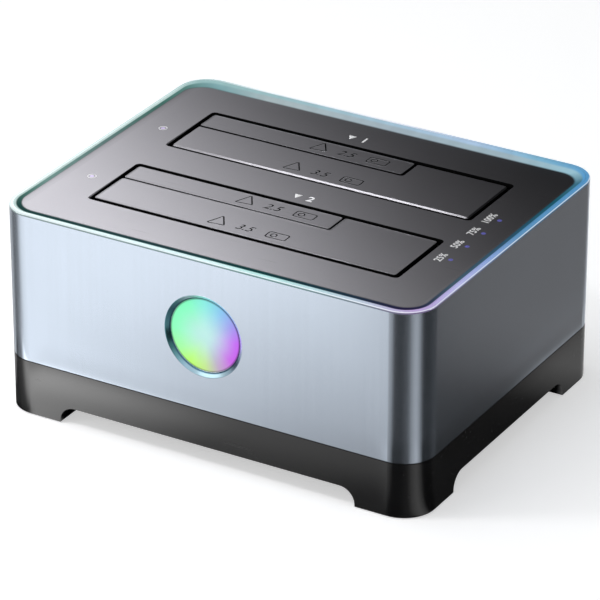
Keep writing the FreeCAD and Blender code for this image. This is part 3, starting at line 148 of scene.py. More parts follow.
class Tree:
    """Adds nodes to a shader tree and joins them."""

    def __init__(self, tree: bpy.types.NodeTree) -> None:
        """Keeps the tree that the nodes are added to."""
        self.tree = tree

    def node(self, kind: str, values: dict | None = None, **settings: object) -> bpy.types.Node:
        """Adds one node.

        Args:
            kind: the node's type, without the leading "ShaderNode".
            values: for each input, by name or number, its value or the socket that feeds it.
            **settings: the node's own settings.

        Returns:
            The node.
        """
        made = self.tree.nodes.new("ShaderNode" + kind)
        for name, value in settings.items():
            setattr(made, name, value)
        for name, value in (values or {}).items():
            self.feed(made.inputs[name], value)
        return made

    def feed(self, socket: bpy.types.NodeSocket, value: Value) -> None:
        """Joins a socket to the socket that feeds it, or gives it a plain value.

        Args:
            socket: the socket that is fed.
            value: the socket that feeds it, or a number, a vector or a colour.
        """
        if isinstance(value, bpy.types.NodeSocket):
            self.tree.links.new(value, socket)
        elif isinstance(value, tuple) and socket.type == "RGBA":
            socket.default_value = (*value[:3], 1.0)
        else:
            socket.default_value = value

    def group(self, group: bpy.types.NodeTree, **values: Value) -> bpy.types.NodeOutputs:
        """The outputs of a node group that is placed in the tree with its own values."""
        return self.node("Group", values, node_tree=group).outputs

    def math(self, operation: str, first: Value, second: Value | None = None,
             clamp: bool = False) -> Output:
        """The result of a Math node on one or two values."""
        values = {0: first} if second is None else {0: first, 1: second}
        return self.node("Math", values, operation=operation, use_clamp=clamp).outputs[0]

    def product(self, *values: Value) -> Output:
        """Values multiplied one after another."""
        return reduce(lambda so_far, value: self.math("MULTIPLY", so_far, value), values)

    def swing(self, noise: Value, reach: Value) -> Output:
        """How far noise is from its middle, times a reach."""
        return self.product(self.math("SUBTRACT", noise, 0.5), reach)

    def mix(self, share: Value, first: Value, second: Value, blend: str = "MIX") -> Output:
        """A colour between two colours, at the given share of the second."""
        values = {"Factor": share, 6: first, 7: second}
        return self.node("Mix", values, data_type="RGBA", blend_type=blend).outputs[2]

    def scaled(self, colour: Value, level: Value) -> Output:
        """A colour times a level."""
        shade = self.node("CombineColor", {0: level, 1: level, 2: level}).outputs[0]
        return self.mix(1.0, colour, shade, "MULTIPLY")

    def ramp(self, share: Value, stops: Stops) -> Output:
        """A colour read from a ramp of colour stops.

        Args:
            share: the place on the ramp, from 0 to 1.
            stops: the ramp's stops, each a place and a colour.

        Returns:
            The colour.
        """
        made = self.node("ValToRGB", {"Fac": share})
        elements = made.color_ramp.elements
        while len(elements) < len(stops):
            elements.new(1.0)
        for element, (place, colour) in zip(elements, stops):
            element.position = place
            element.color = (*colour, 1.0)
        return made.outputs["Color"]

    def spread(self, value: Value, low: float, high: float, start: float = 0.0,
               end: float = 1.0) -> Output:
        """A value mapped from one range to another with smooth ends."""
        values = {"Value": value, "From Min": low, "From Max": high, "To Min": start, "To Max": end}
        return self.node("MapRange", values, interpolation_type="SMOOTHSTEP").outputs[0]

    def within(self, place: tuple[Output, Output], low: Pair | Vector, high: Pair | Vector,
               soft: float) -> Output:
        """A mask that is one inside a level rectangle and fades to nothing at its edge.

        Args:
            place: the X and the Y of a point.
            low, high: the rectangle's lowest and highest corners.
            soft: the width of the strip inside the edge over which the mask fades.

        Returns:
            The mask.
        """
        edges = []
        for value, least, most in zip(place, low, high):
            edges.append(self.spread(value, least, least + soft))
            edges.append(self.spread(value, most - soft, most, 1.0, 0.0))
        return self.product(*edges)

    def noise(self, vector: Value, size: float, detail: float = 2.0) -> Output:
        """Soft noise with lumps of the given size, in metres."""
        values = {"Vector": vector, "Scale": 1 / size, "Detail": detail}
        return self.node("TexNoise", values).outputs["Fac"]

    def hairlines(self, place: Value, often: Point, detail: float, turn: float = 0.0) -> Output:
        """Noise drawn out into lines, which repeats so often along X, Y and Z, per metre."""
        values = {"Vector": place, "Rotation": (0.0, 0.0, turn), "Scale": often}
        return self.noise(self.node("Mapping", values).outputs[0], 1.0, detail)

    def bump(self, height: Value, depth: float) -> Output:
        """A normal from a height, as deep as the given depth in metres."""
        return self.node("Bump", {"Height": height, "Distance": depth, "Strength": 1.0}).outputs[0]

    def place(self) -> Output:
        """The place of a point in the frame."""
        return self.node("TexCoord").outputs["Object"]

    def facing(self) -> Output:
        """The way that the surface faces, in the part's own frame."""
        return self.node("TexCoord").outputs["Normal"]

    def across(self) -> Output:
        """The attribute "across" of the surface."""
        return self.node("Attribute", attribute_name="across").outputs["Fac"]

    def parts(self, vector: Value) -> tuple[Output, Output, Output]:
        """The X, Y and Z of a vector."""
        return tuple(self.node("SeparateXYZ", {0: vector}).outputs)

    def emit(self, colour: Value, strength: Value = 1.0) -> None:
        """Ends a material's tree with plain light."""
        light = self.node("Emission", {"Color": colour, "Strength": strength}).outputs[0]
        self.node("OutputMaterial", {"Surface": light})


def empty_tree(owner: bpy.types.Material | bpy.types.World) -> Tree:
    """Gives a material or a world an empty tree.

    Args:
        owner: the material or the world.

    Returns:
        The tree.
    """
    owner.use_nodes = True
    owner.node_tree.nodes.clear()
    return Tree(owner.node_tree)


class Socket(Enum):
    """The kinds of socket that a node group has."""

    VECTOR = "NodeSocketVector"
    COLOUR = "NodeSocketColor"
    VALUE = "NodeSocketFloat"


def new_group(name: str, inputs: dict[str, Socket], outputs: dict[str, Socket]) -> tuple:
    """Starts a shader node group.

    Args:
        name: the group's name.
        inputs: the group's inputs, by name.
        outputs: the group's outputs, by name.

    Returns:
        The group, its tree, the sockets that it is given and the sockets of its result.
    """
    group = bpy.data.node_groups.new(name, "ShaderNodeTree")
    for socket, kind in inputs.items():
        group.interface.new_socket(socket, in_out="INPUT", socket_type=kind.value)
    for socket, kind in outputs.items():
        group.interface.new_socket(socket, in_out="OUTPUT", socket_type=kind.value)
    entry = group.nodes.new("NodeGroupInput")
    leave = group.nodes.new("NodeGroupOutput")
    return group, Tree(group), entry.outputs, leave.inputs


@cache
def moulded_grain() -> bpy.types.NodeTree:
    """The spark-eroded grain of a moulding: fine lumps, and a broad, faint mottle of the colour.

    Returns:
        The group, which puts out the colour, the roughness and the height of the lumps.
    """
    inputs = {"Place": Socket.VECTOR, "Colour": Socket.COLOUR, "Roughness": Socket.VALUE}
    inputs |= {"Grain": Socket.VALUE, "Mottle": Socket.VALUE}
    outputs = {"Colour": Socket.COLOUR, "Roughness": Socket.VALUE, "Height": Socket.VALUE}
    group, tree, given, result = new_group("moulded_grain", inputs, outputs)
    scale = tree.math("DIVIDE", 1.0, given["Grain"])
    values = {"Vector": given["Place"], "Scale": scale, "Detail": 3.0}
    fine = tree.node("TexNoise", values).outputs["Fac"]
    swing = tree.swing(tree.noise(given["Place"], 20 * MM), given["Mottle"])
    speckle = tree.swing(fine, 0.12)
    level = tree.math("ADD", 1.0, tree.math("ADD", swing, speckle))
    rough = tree.math("ADD", given["Roughness"], tree.product(swing, 0.4))
    tree.feed(result["Colour"], tree.scaled(given["Colour"], level))
    tree.feed(result["Roughness"], tree.math("ADD", rough, speckle, clamp=True))
    tree.feed(result["Height"], fine)
    return group


@cache
def edge_rub() -> bpy.types.NodeTree:
    """A painted sheen on a chamfer: strongest on faces at 45 degrees, broken up by noise.

    With n the upward part of the facing, the chamfer's mask is 4 n n (1 - n n).

    Returns:
        The group, which puts out the mask of the painted sheen.
    """
    inputs = {"Place": Socket.VECTOR, "Facing": Socket.VECTOR, "Amount": Socket.VALUE}
    group, tree, given, result = new_group("edge_rub", inputs, {"Mask": Socket.VALUE})
    upward = tree.parts(given["Facing"])[2]
    square = tree.product(upward, upward)
    patch = tree.spread(tree.noise(given["Place"], 4 * MM), 0.3, 0.7, 0.4, 1.0)
    mask = tree.product(square, tree.math("SUBTRACT", 1.0, square), 4.0, patch)
    tree.feed(result["Mask"], tree.math("MULTIPLY", mask, given["Amount"], clamp=True))
    return group


@cache
def fine_scratches() -> bpy.types.NodeTree:
    """Sparse hairlines: noise drawn out along X, of which only the tops are kept.

    Returns:
        The group, which puts out the mask of the hairlines.
    """
    inputs = {"Place": Socket.VECTOR, "Amount": Socket.VALUE}
    group, tree, given, result = new_group("fine_scratches", inputs, {"Mask": Socket.VALUE})
    lines = tree.hairlines(given["Place"], (60.0, 1500.0, 900.0), 1.0, turn=0.35)
    kept = tree.spread(lines, 0.72, 0.8)
    tree.feed(result["Mask"], tree.math("MULTIPLY", kept, given["Amount"], clamp=True))
    return group


@cache
def around_a_point() -> bpy.types.NodeTree:
    """A point's turn about the Z axis, from 0 to 1 starting at -X, and its distance from it.

    Returns:
        The group, which puts out the turn and the distance.
    """
    outputs = {"Turn": Socket.VALUE, "Distance": Socket.VALUE}
    group, tree, given, result = new_group("around_a_point", {"Place": Socket.VECTOR}, outputs)
    across, along, _ = tree.parts(given["Place"])
    angle = tree.math("ARCTAN2", along, across)
    tree.feed(result["Turn"], tree.math("ADD", tree.math("DIVIDE", angle, math.tau), 0.5))
    squares = tree.math("ADD", tree.math("POWER", across, 2.0), tree.math("POWER", along, 2.0))
    tree.feed(result["Distance"], tree.math("SQRT", squares))
    return group


@cache
def board_traces() -> bpy.types.NodeTree:
    """Copper traces under solder mask: bands between random points, and pads at such points.

    The distance to the nearest point is the sum of the distances along X, Y and Z, so the bands
    run straight and turn at right angles.

    Returns:
        The group, which puts out the masks of the traces and of the pads.
    """
    inputs = {"Place": Socket.VECTOR, "Pitch": Socket.VALUE}
    outputs = {"Trace": Socket.VALUE, "Pad": Socket.VALUE}
    group, tree, given, result = new_group("board_traces", inputs, outputs)
    scale = tree.math("DIVIDE", 1.0, given["Pitch"])
    values = {"Vector": given["Place"], "Scale": scale}
    near = tree.node("TexVoronoi", values, distance="MANHATTAN").outputs["Distance"]
    band = tree.math("PINGPONG", tree.product(near, 8.0), 1.0)
    tree.feed(result["Trace"], tree.spread(band, 0.35, 0.5))
    values = {"Vector": given["Place"], "Scale": tree.product(scale, 0.6)}
    dots = tree.node("TexVoronoi", values).outputs["Distance"]
    tree.feed(result["Pad"], tree.math("LESS_THAN", dots, 0.09))
    return group


def around(tree: Tree, place: Value, centre: Point, upright: bool = False) -> tuple[Output, Output]:
    """The turn of a place about a point, and its distance from it.

    Args:
        tree: the tree that the nodes are added to.
        place: the place.
        centre: the point.
        upright: whether the turn is seen from the front and not from above.

    Returns:
        The turn, from 0 to 1 starting at -X, and the distance.
    """
    x, y, z = centre
    shift = (-x, -z, y) if upright else (-x, -y, -z)
    turn = (-math.pi / 2 if upright else 0.0, 0.0, 0.0)
    values = {"Vector": place, "Location": shift, "Rotation": turn}
    made = tree.group(around_a_point(), Place=tree.node("Mapping", values).outputs[0])
    return made["Turn"], made["Distance"]


# -------------------- Finishes --------------------


@dataclass(frozen=True)
class Finish:
    """A finish, which makes one material.

    Args:
        name: the material's name.
        colour: its base colour.
        roughness: how rough it is, from 0 to 1.
    """

    name: str
    colour: Colour
    roughness: float = 0.45

    def material(self) -> bpy.types.Material:
        """The finish's material, made the first time that it is asked for.

        Returns:
            The material: one shader, fed with the finish's inputs.
        """
        found = bpy.data.materials.get(self.name)
        if found:
            return found
        made = bpy.data.materials.new(self.name)
        made.diffuse_color = (*self.colour, 1.0)
        tree = empty_tree(made)
        shader = tree.node("BsdfPrincipled", self.inputs(tree))
        output = tree.node("OutputMaterial", {"Surface": shader.outputs[0]})
        output.is_active_output = True
        return made

    def inputs(self, tree: Tree) -> dict[str, Value]:
        """What the shader is fed with.

        Args:
            tree: the material's tree.

        Returns:
            The shader's inputs, by name, each a plain value or the socket that feeds it.
        """
        raise NotImplementedError

    def grained(self, tree: Tree, grain: float, mottle: float, rub: float) -> tuple:
        """The finish with a moulded grain, and the mask of a painted sheen on its chamfers.

        Args:
            tree: the material's tree.
            grain: the size of the grain.
            mottle: how much the colour changes over the part.
            rub: how strong the painted sheen on the chamfers is.

        Returns:
            The grain's outputs and the mask of the painted sheen on the chamfers.
        """
        place = tree.place()
        grained = tree.group(moulded_grain(), Place=place, Colour=self.colour,
                             Roughness=self.roughness, Grain=grain, Mottle=mottle)
        return grained, tree.group(edge_rub(), Place=place, Facing=tree.facing(), Amount=rub)[0]

    def uneven(self, tree: Tree, noise: Value, less: float, more: float) -> Output:
        """The finish's roughness, less where noise is low and more where it is high."""
        return tree.spread(noise, 0.3, 0.7, self.roughness - less, self.roughness + more)

    def shaded(self, share: float, least: float = 0.0) -> Colour:
        """The finish's colour times a share, with a least level added to it."""
        return tuple(min(1.0, part * share + least) for part in self.colour)


@dataclass(frozen=True)
class Moulding(Finish):
    """A moulded plastic with fine grain.

    Args:
        grain: the size of the grain.
        depth: the height of the grain.
        mottle: how much the colour changes over the part.
        gloss: the specular level.
        rub: how much lighter the chamfers are, as a painted sheen.
        scratches: how much rougher the hairline scratches are.
    """

    grain: float = 0.35 * MM
    depth: float = 0.004 * MM
    mottle: float = 0.15
    gloss: float = 0.5
    rub: float = 0.0
    scratches: float = 0.12

    def inputs(self, tree: Tree) -> dict[str, Value]:
        """The shader's inputs, from the grain, the painted sheen on the chamfers and the scratches.

        Args:
            tree: the material's tree.

        Returns:
            The inputs, by name.
        """
        grain, sheen_mask = self.grained(tree, self.grain, self.mottle, self.rub)
        lines = tree.group(fine_scratches(), Place=tree.place(), Amount=self.scratches)
        return {
            # Painted sheen: the chamfers are lightened where the mask is high.
            "Base Color": tree.mix(sheen_mask, grain["Colour"], self.shaded(3.0, 0.04)),
            "Roughness": tree.math("ADD", grain["Roughness"], lines["Mask"], clamp=True),
            "Specular IOR Level": self.gloss,
            "Normal": tree.bump(grain["Height"], self.depth),
        }


@dataclass(frozen=True)
class Anodised(Finish):
    """Bead-blasted, anodised aluminium: a metal with a fine sparkle and faint upright lines.

    Args:
        metal: how metallic it is.
        grain: the size of the blasted dimples.
        depth: the depth of the dimples.
        mottle: how much the colour changes over the part.
        rub: how much of the bright colour the chamfers show, as a painted sheen.
        lines: how often the drawing lines repeat along X, Y and Z, per metre.
        burnish: the heights between which the roughness grows from burnished to full.
        burnished: the share of the roughness that is left at the lower edge.
    """

    metal: float = 0.92
    grain: float = 0.12 * MM
    depth: float = 0.0012 * MM
    mottle: float = 0.05
    rub: float = 0.35
    lines: Point = (900.0, 900.0, 8.0)
    burnish: Pair = (19.5 * MM, 27 * MM)
    burnished: float = 0.5

    def inputs(self, tree: Tree) -> dict[str, Value]:
        """The shader's inputs, from the dimples, the lines, the painted sheen on the chamfers and
        the burnished lower edge.

        Args:
            tree: the material's tree.

        Returns:
            The inputs, by name.
        """
        place = tree.place()
        grain, sheen_mask = self.grained(tree, self.grain, self.mottle, self.rub)
        lines = tree.hairlines(place, self.lines, 2.0)
        colour = tree.scaled(grain["Colour"], tree.spread(lines, 0.3, 0.7, 0.992, 1.008))
        burnish = tree.spread(tree.parts(place)[2], *self.burnish, self.burnished, 1.0)
        return {
            # Painted sheen: the chamfers show a brighter colour where the mask is high.
            "Base Color": tree.mix(sheen_mask, colour, self.shaded(1.25)),
            "Roughness": tree.product(grain["Roughness"], burnish),
            "Metallic": self.metal,
            "Normal": tree.bump(grain["Height"], self.depth),
        }


# The border of the cover beside the light ring, over the hollow that the cover has there: a sheet
# that carries a painted glow of the ring, a painted reflection and painted shade.
@dataclass(frozen=True)
class Metal(Finish):
    """A bare or plated metal with drawing lines along one axis.

    Args:
        lines: how often the drawing lines repeat along X, Y and Z, per metre.
        tarnish: how much darker the dull patches are.
    """

    lines: Point = (200.0, 4000.0, 4000.0)
    tarnish: float = 0.25

    def inputs(self, tree: Tree) -> dict[str, Value]:
        """The shader's inputs, from the drawing lines and the dull patches.

        Args:
            tree: the material's tree.

        Returns:
            The inputs, by name.
        """
        place = tree.place()
        lines = tree.hairlines(place, self.lines, 3.0)
        patch = tree.spread(tree.noise(place, 3 * MM), 0.35, 0.75)
        rough = tree.math("ADD", tree.swing(lines, 0.3), self.roughness)
        return {
            "Base Color": tree.mix(patch, self.colour, self.shaded(1 - self.tarnish)),
            "Roughness": tree.math("ADD", rough, tree.product(patch, 0.12), clamp=True),
            "Metallic": 1.0,
            "Normal": tree.bump(lines, 0.002 * MM),
        }


class Hues(Enum):
    """The colours that a lit part shows."""

    RING = "ring"
    WHEEL = "wheel"
    PLAIN = "plain"


@dataclass(frozen=True)
class Glow(Finish):
    """A milky plastic that is lit from behind.

    Args:
        hues: which colours it shows.
        centre: the point that its colours turn about.
        reach: the distance from the centre at which its colours are full.
        strength: how bright it is.
        dim: the share of the light's colour that the plastic itself has.
        cloud: how much its brightness changes from place to place.
    """

    hues: Hues = Hues.PLAIN
    centre: Point = (0.0, 0.0, 0.0)
    reach: float = 10 * MM
    strength: float = 1.0
    dim: float = 0.3
    cloud: float = 0.03

    def inputs(self, tree: Tree) -> dict[str, Value]:
        """The shader's inputs, from the light, clouded by the milky plastic.

        Args:
            tree: the material's tree.

        Returns:
            The inputs, by name.
        """
        place = tree.place()
        murk = tree.noise(place, 4 * MM, 3.0)
        cloud = tree.spread(murk, 0.25, 0.75, 1 - self.cloud, 1 + self.cloud)
        lit = tree.scaled(self.light(tree, place), cloud)
        fine = tree.noise(place, 0.4 * MM)
        return {
            "Emission Color": lit,
            "Emission Strength": self.strength,
            "Base Color": tree.mix(self.dim, BLACK, lit),
            "Roughness": self.uneven(tree, fine, 0.06, 0.06),
            "Specular IOR Level": 0.25,
            "Normal": tree.bump(fine, 0.001 * MM),
        }

    def light(self, tree: Tree, place: Output) -> Output:
        """The colour of the light at a place.

        A plain light is only mottled. The ring has a bright line on its rounding and a dark side,
        told apart by how far up the surface faces. The lens pales to its middle and darkens at
        its rim.

        Args:
            tree: the material's tree.
            place: the place.

        Returns:
            The colour.
        """
        if self.hues is Hues.PLAIN:
            near = tree.spread(tree.noise(place, MM), 0.2, 0.8, 0.8, 1.0)
            return tree.mix(near, self.shaded(0.7), self.colour)
        turn, distance = around(tree, place, self.centre, upright=self.hues is Hues.WHEEL)
        if self.hues is Hues.RING:
            flat = tree.math("ABSOLUTE", tree.parts(tree.facing())[2])
            starts, ends = tree.spread(flat, 0.3, 0.6), tree.spread(flat, 0.75, 0.97, 0.75, 0.0)
            lined = tree.mix(tree.product(starts, ends), tree.ramp(turn, RING_HUES), RING_LINE)
            return tree.mix(tree.spread(flat, 0.2, 0.5, 0.6, 0.0), lined, RING_SIDE)
        full = tree.spread(distance, 0.0, self.reach)
        rim = tree.spread(distance, 0.945 * self.reach, 0.995 * self.reach, 0.0, 0.6)
        return tree.mix(rim, tree.mix(full, WHEEL_CENTRE, tree.ramp(turn, WHEEL_HUES)), BLACK)


@dataclass(frozen=True)
class PaintedBorderLight(Finish):
    """Painted light on the border of the cover: a painted glow of the ring beside it, a painted
    reflection that is bright behind, and painted shade, deep in colour, elsewhere.

    The attribute "across" runs from 0 at the ring to 1 at the border's inner edge, where the border
    fades into the cover.

    Args:
        centre: the point that its colours turn about.
        ring_share: the share of the border that carries the painted glow, as bright as the ring.
        fade: how far across the border starts to fade.
    """

    centre: Point = (0.0, 0.0, 0.0)
    ring_share: float = 0.24
    fade: float = 0.72

    def inputs(self, tree: Tree) -> dict[str, Value]:
        """The shader's inputs, from the turn about the centre and the way across.

        Args:
            tree: the material's tree.

        Returns:
            The inputs, by name.
        """
        place, across = tree.place(), tree.across()
        turn, _ = around(tree, place, self.centre)
        # Painted glow next to the ring, painted reflection and shade further across, given as
        # emission.
        away = tree.spread(across, 0.5 * self.ring_share, 1.5 * self.ring_share)
        light = tree.mix(away, tree.ramp(turn, PAINTED_RING_GLOW), tree.ramp(turn, PAINTED_BORDER_SHADE_AND_REFLECTION))
        light = tree.scaled(light, tree.spread(tree.noise(place, 4 * MM), 0.3, 0.7, 0.96, 1.04))
        return {
            "Emission Color": light,
            "Emission Strength": 1.0,
            "Base Color": tree.mix(0.02, BLACK, light),
            "Roughness": self.uneven(tree, tree.noise(place, MM), 0.05, 0.05),
            "Specular IOR Level": 0.0,
            "Alpha": tree.spread(across, self.fade, 1.0, 1.0, 0.0),
            "Normal": tree.bump(tree.noise(place, 0.35 * MM), 0.002 * MM),
        }


@dataclass(frozen=True)
class Bezel(Finish):
    """The bevel round the lens: a metal whose colour is a painted reflection, dark at the left
    where it would mirror the lens.

    The attribute "across" runs from 0 at the lens to 1 at the bevel's outer edge.

    Args:
        centre: the middle of the lens.
        edge: the colour of the shadow between the lens and the bevel.
        shadow: where across the bevel the shadow starts to end, and where it has ended.
    """

    centre: Point = (0.0, 0.0, 0.0)
    edge: Colour = (0.03, 0.09, 0.14)
    shadow: Pair = (0.15, 0.4)

    def inputs(self, tree: Tree) -> dict[str, Value]:
        """The shader's inputs, from the turn about the lens and the way across.

        Args:
            tree: the material's tree.

        Returns:
            The inputs, by name.
        """
        place = tree.place()
        turn, _ = around(tree, place, self.centre, upright=True)
        clear = tree.spread(tree.across(), *self.shadow)
        fine = tree.noise(place, 0.2 * MM)
        return {
            # Painted reflection by the turn about the lens, and painted shadow next to the lens.
            "Base Color": tree.mix(clear, self.edge, tree.ramp(turn, PAINTED_BEZEL_REFLECTION)),
            "Roughness": self.uneven(tree, fine, 0.04, 0.04),
            "Metallic": 0.95,
            "Normal": tree.bump(fine, 0.001 * MM),
        }


@dataclass(frozen=True)
class Board(Finish):
    """A circuit board under solder mask.

    Args:
        pitch: the spacing of its traces.
        trace: the colour of the mask over copper.
        pad: the colour of a bare pad.
    """

    pitch: float = 6 * MM
    trace: Colour = (0.05, 0.2, 0.12)
    pad: Colour = (0.6, 0.52, 0.3)

    def inputs(self, tree: Tree) -> dict[str, Value]:
        """The shader's inputs, from the traces and pads.

        Args:
            tree: the material's tree.

        Returns:
            The inputs, by name.
        """
        place = tree.place()
        traces = tree.group(board_traces(), Place=place, Pitch=self.pitch)
        colour = tree.mix(traces["Trace"], self.colour, self.trace)
        return {
            "Base Color": tree.mix(traces["Pad"], colour, self.pad),
            "Roughness": self.uneven(tree, tree.noise(place, 2 * MM), 0.0, 0.1),
            "Normal": tree.bump(traces["Trace"], 0.02 * MM),
        }


@dataclass(frozen=True)
class Ribbon(Finish):
    """A flat cable of side-by-side wires.

    Args:
        pitch: the spacing of its wires.
    """

    pitch: float = 0.5 * MM

    def inputs(self, tree: Tree) -> dict[str, Value]:
        """The shader's inputs, from the wires, each a rounded rib, with painted shade in the
        grooves between them.

        Args:
            tree: the material's tree.

        Returns:
            The inputs, by name.
        """
        place = tree.place()
        across, along, _ = tree.parts(place)
        turn = tree.product(tree.math("ADD", across, along), math.tau / self.pitch)
        wires = tree.math("SINE", turn)
        # Painted shade: the grooves between the wires are darker.
        top = tree.spread(wires, -1.0, -0.4)
        return {
            "Base Color": tree.mix(top, self.shaded(0.6), self.colour),
            "Roughness": self.uneven(tree, tree.noise(place, MM), 0.05, 0.05),
            "Normal": tree.bump(wires, 0.05 * MM),
        }


@dataclass(frozen=True)
class Ink(Finish):
    """Printed ink, a little uneven where the pad has lifted.

    Args:
        wear: how much of the ink's colour is lost in the uneven places.
        gloss: the specular level.
    """

    wear: float = 0.12
    gloss: float = 0.5

    def inputs(self, tree: Tree) -> dict[str, Value]:
        """The shader's inputs, from the uneven places.

        Args:
            tree: the material's tree.

        Returns:
            The inputs, by name.
        """
        worn = tree.spread(tree.noise(tree.place(), 0.5 * MM, 3.0), 0.35, 0.75)
        return {
            "Base Color": tree.mix(worn, self.colour, self.shaded(1 - self.wear)),
            "Roughness": tree.spread(worn, 0.0, 1.0, self.roughness, self.roughness + 0.12),
            "Specular IOR Level": self.gloss,
            "Normal": tree.bump(worn, 0.002 * MM),
        }


class Slot(Enum):
    """The record's material slots."""

    SHELL = "anodised_aluminium"
    BASE = "black_base"
    COVER = "cover_plastic"
    FLAP = "flap_plastic"
    WELL = "well_plastic"
    RING = "light_guide"
    LENS = "diffuser"
    REFLECTOR = "reflector_white"
    RUBBER = "foot_rubber"
    BOARD = "circuit_board"
    LIGHT_BOARD = "light_board"
    CHIP = "chip_plastic"
    LAMP = "lamp"
    CONNECTOR = "connector_plastic"
    GOLD = "gold_contact"
    STEEL = "steel"
    SPRING = "spring_steel"
    CAN = "can_aluminium"
    BUTTON = "button_plastic"
    RIBBON = "ribbon"


def middle(node: str) -> Vector:
    """The middle of a construction node's box."""
    low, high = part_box(node)
    return (low + high) / 2


def half_width(node: str) -> float:
    """Half the length of a construction node's box along X."""
    low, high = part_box(node)
    return (high.x - low.x) / 2


@cache
def finishes() -> dict[Slot, Finish]:
    """The finish of each material slot.

    Returns:
        The finishes, by slot.
    """
    grey, black = (0.012, 0.012, 0.013), (0.02, 0.02, 0.022)
    lens_rim = 2 * MM
    # Several finishes get a painted sheen on their chamfers: lighter colour on faces at 45 degrees.
    return {
        Slot.SHELL: Anodised("shell_anodised", (0.57, 0.64, 0.735), 0.23),
        Slot.BASE: Moulding("base_satin_black", (0.007, 0.007, 0.0075), 0.22, gloss=1.0, rub=0.05),
        Slot.COVER: Moulding("cover_satin_grey", grey, 0.32, gloss=0.7, rub=0.1),
        Slot.FLAP: Moulding("flap_satin_grey", grey, 0.32, gloss=0.7, rub=0.05),
        Slot.WELL: Moulding("well_matt_black", grey, 0.6, gloss=0.2),
        Slot.RING: Glow("ring_light_guide", (0.8, 0.9, 0.95), 0.3, hues=Hues.RING, strength=0.88,
                        dim=0.1),
        Slot.LENS: Glow("lens_diffuser", (0.8, 0.9, 0.9), 0.45, hues=Hues.WHEEL,
                        centre=tuple(middle("front_lens")),
                        reach=half_width("front_lens") - lens_rim, strength=0.95, dim=0.1,
                        cloud=0.012),
        Slot.REFLECTOR: Moulding("reflector_white", (0.82, 0.82, 0.82), 0.5, mottle=0.03),
        Slot.RUBBER: Moulding("foot_rubber", (0.02, 0.02, 0.02), 0.8, grain=0.6 * MM,
                              depth=0.03 * MM, gloss=0.3),
        Slot.BOARD: Board("board_green", (0.02, 0.10, 0.05), 0.3),
        Slot.LIGHT_BOARD: Board("board_white", (0.72, 0.73, 0.72), 0.35, trace=(0.78, 0.79, 0.77),
                                pad=(0.7, 0.6, 0.35)),
        Slot.CHIP: Moulding("chip_moulding", (0.022, 0.022, 0.024), 0.55, grain=0.08 * MM),
        Slot.LAMP: Glow("lamp_lit", (0.95, 0.93, 0.85), 0.3, strength=1.0),
        Slot.CONNECTOR: Moulding("connector_black", black, 0.45, grain=0.15 * MM),
        Slot.GOLD: Metal("contact_gold", (0.83, 0.62, 0.27), 0.25, tarnish=0.15),
        Slot.STEEL: Metal("bright_steel", (0.58, 0.58, 0.60), 0.3),
        Slot.SPRING: Metal("spring_wire", (0.45, 0.45, 0.47), 0.35),
        Slot.CAN: Metal("can_aluminium", (0.74, 0.74, 0.76), 0.32, lines=(3000.0, 3000.0, 100.0)),
        Slot.BUTTON: Moulding("button_gloss_black", black, 0.25, grain=0.1 * MM, depth=0.0005 * MM,
                              rub=0.3),
        Slot.RIBBON: Ribbon("ribbon_cable", (0.62, 0.60, 0.55), 0.5),
    }


BAY_LIGHT = Glow("bay_light_lit", seen(200, 184, 226), 0.3, strength=0.6)
PROGRESS_LIGHT = Glow("progress_light_lit", seen(92, 92, 172), 0.3, strength=0.6)
PRINT_WHITE = Ink("print_white", (0.86, 0.86, 0.86), 0.5)
# Painted shade: the dark of an engraved line.
ENGRAVING_PAINTED_SHADE = Ink("engraving_painted_shade", (0.004, 0.004, 0.004), 0.7, gloss=0.0)
# Painted shade: the black skins in the gaps of the openings and the flaps.
GAP_PAINTED_SHADE = Ink("edge_matt_black", (0.003, 0.003, 0.003), 0.8, gloss=0.0)
# Painted highlight: the light lower edge of an engraved line.
ENGRAVING_PAINTED_HIGHLIGHT = Ink("engraved_edge", (0.16, 0.16, 0.165), 0.35)


# -------------------- Meshes --------------------


def linked(name: str, data: bpy.types.ID) -> bpy.types.Object:
    """Puts a new object into the scene, at the origin.

    Args:
        name: the object's name.
        data: its mesh, curve, lamp or camera.

    Returns:
        The object.
    """
    made = bpy.data.objects.new(name, data)
    bpy.context.scene.collection.objects.link(made)
    return made


def mesh_object(name: str, points: np.ndarray, faces: np.ndarray) -> bpy.types.Object:
    """Makes a mesh object at the origin.

    Args:
        name: the object's name.
        points: the points, one row each.
        faces: the corners of each face, one row each.

    Returns:
        The object.
    """
    mesh = bpy.data.meshes.new(name)
    mesh.vertices.add(len(points))
    mesh.vertices.foreach_set("co", points.astype(np.float32).ravel())
    mesh.loops.add(faces.size)
    mesh.loops.foreach_set("vertex_index", faces.astype(np.int32).ravel())
    mesh.polygons.add(len(faces))
    starts = np.arange(len(faces), dtype=np.int32) * faces.shape[1]
    mesh.polygons.foreach_set("loop_start", starts)
    mesh.update(calc_edges=True)
    mesh.validate()
    return linked(name, mesh)


def rectangle(left: float, front: float, right: float, back: float) -> np.ndarray:
    """The corners of a rectangle, turning left from the front left one, one row each."""
    return np.array([[left, front], [right, front], [right, back], [left, back]])


def circle(count: int) -> np.ndarray:
    """Points of a circle of radius 1 about the origin: the cosine and the sine of even turns."""
    angle = np.linspace(0, 2 * np.pi, count, endpoint=False)
    return np.stack([np.cos(angle), np.sin(angle)], 1)


def lifted(loop: np.ndarray, level: float | np.ndarray) -> np.ndarray:
    """The points of a flat loop at a level, or each at its own level."""
    return np.column_stack([loop, np.broadcast_to(level, len(loop))])


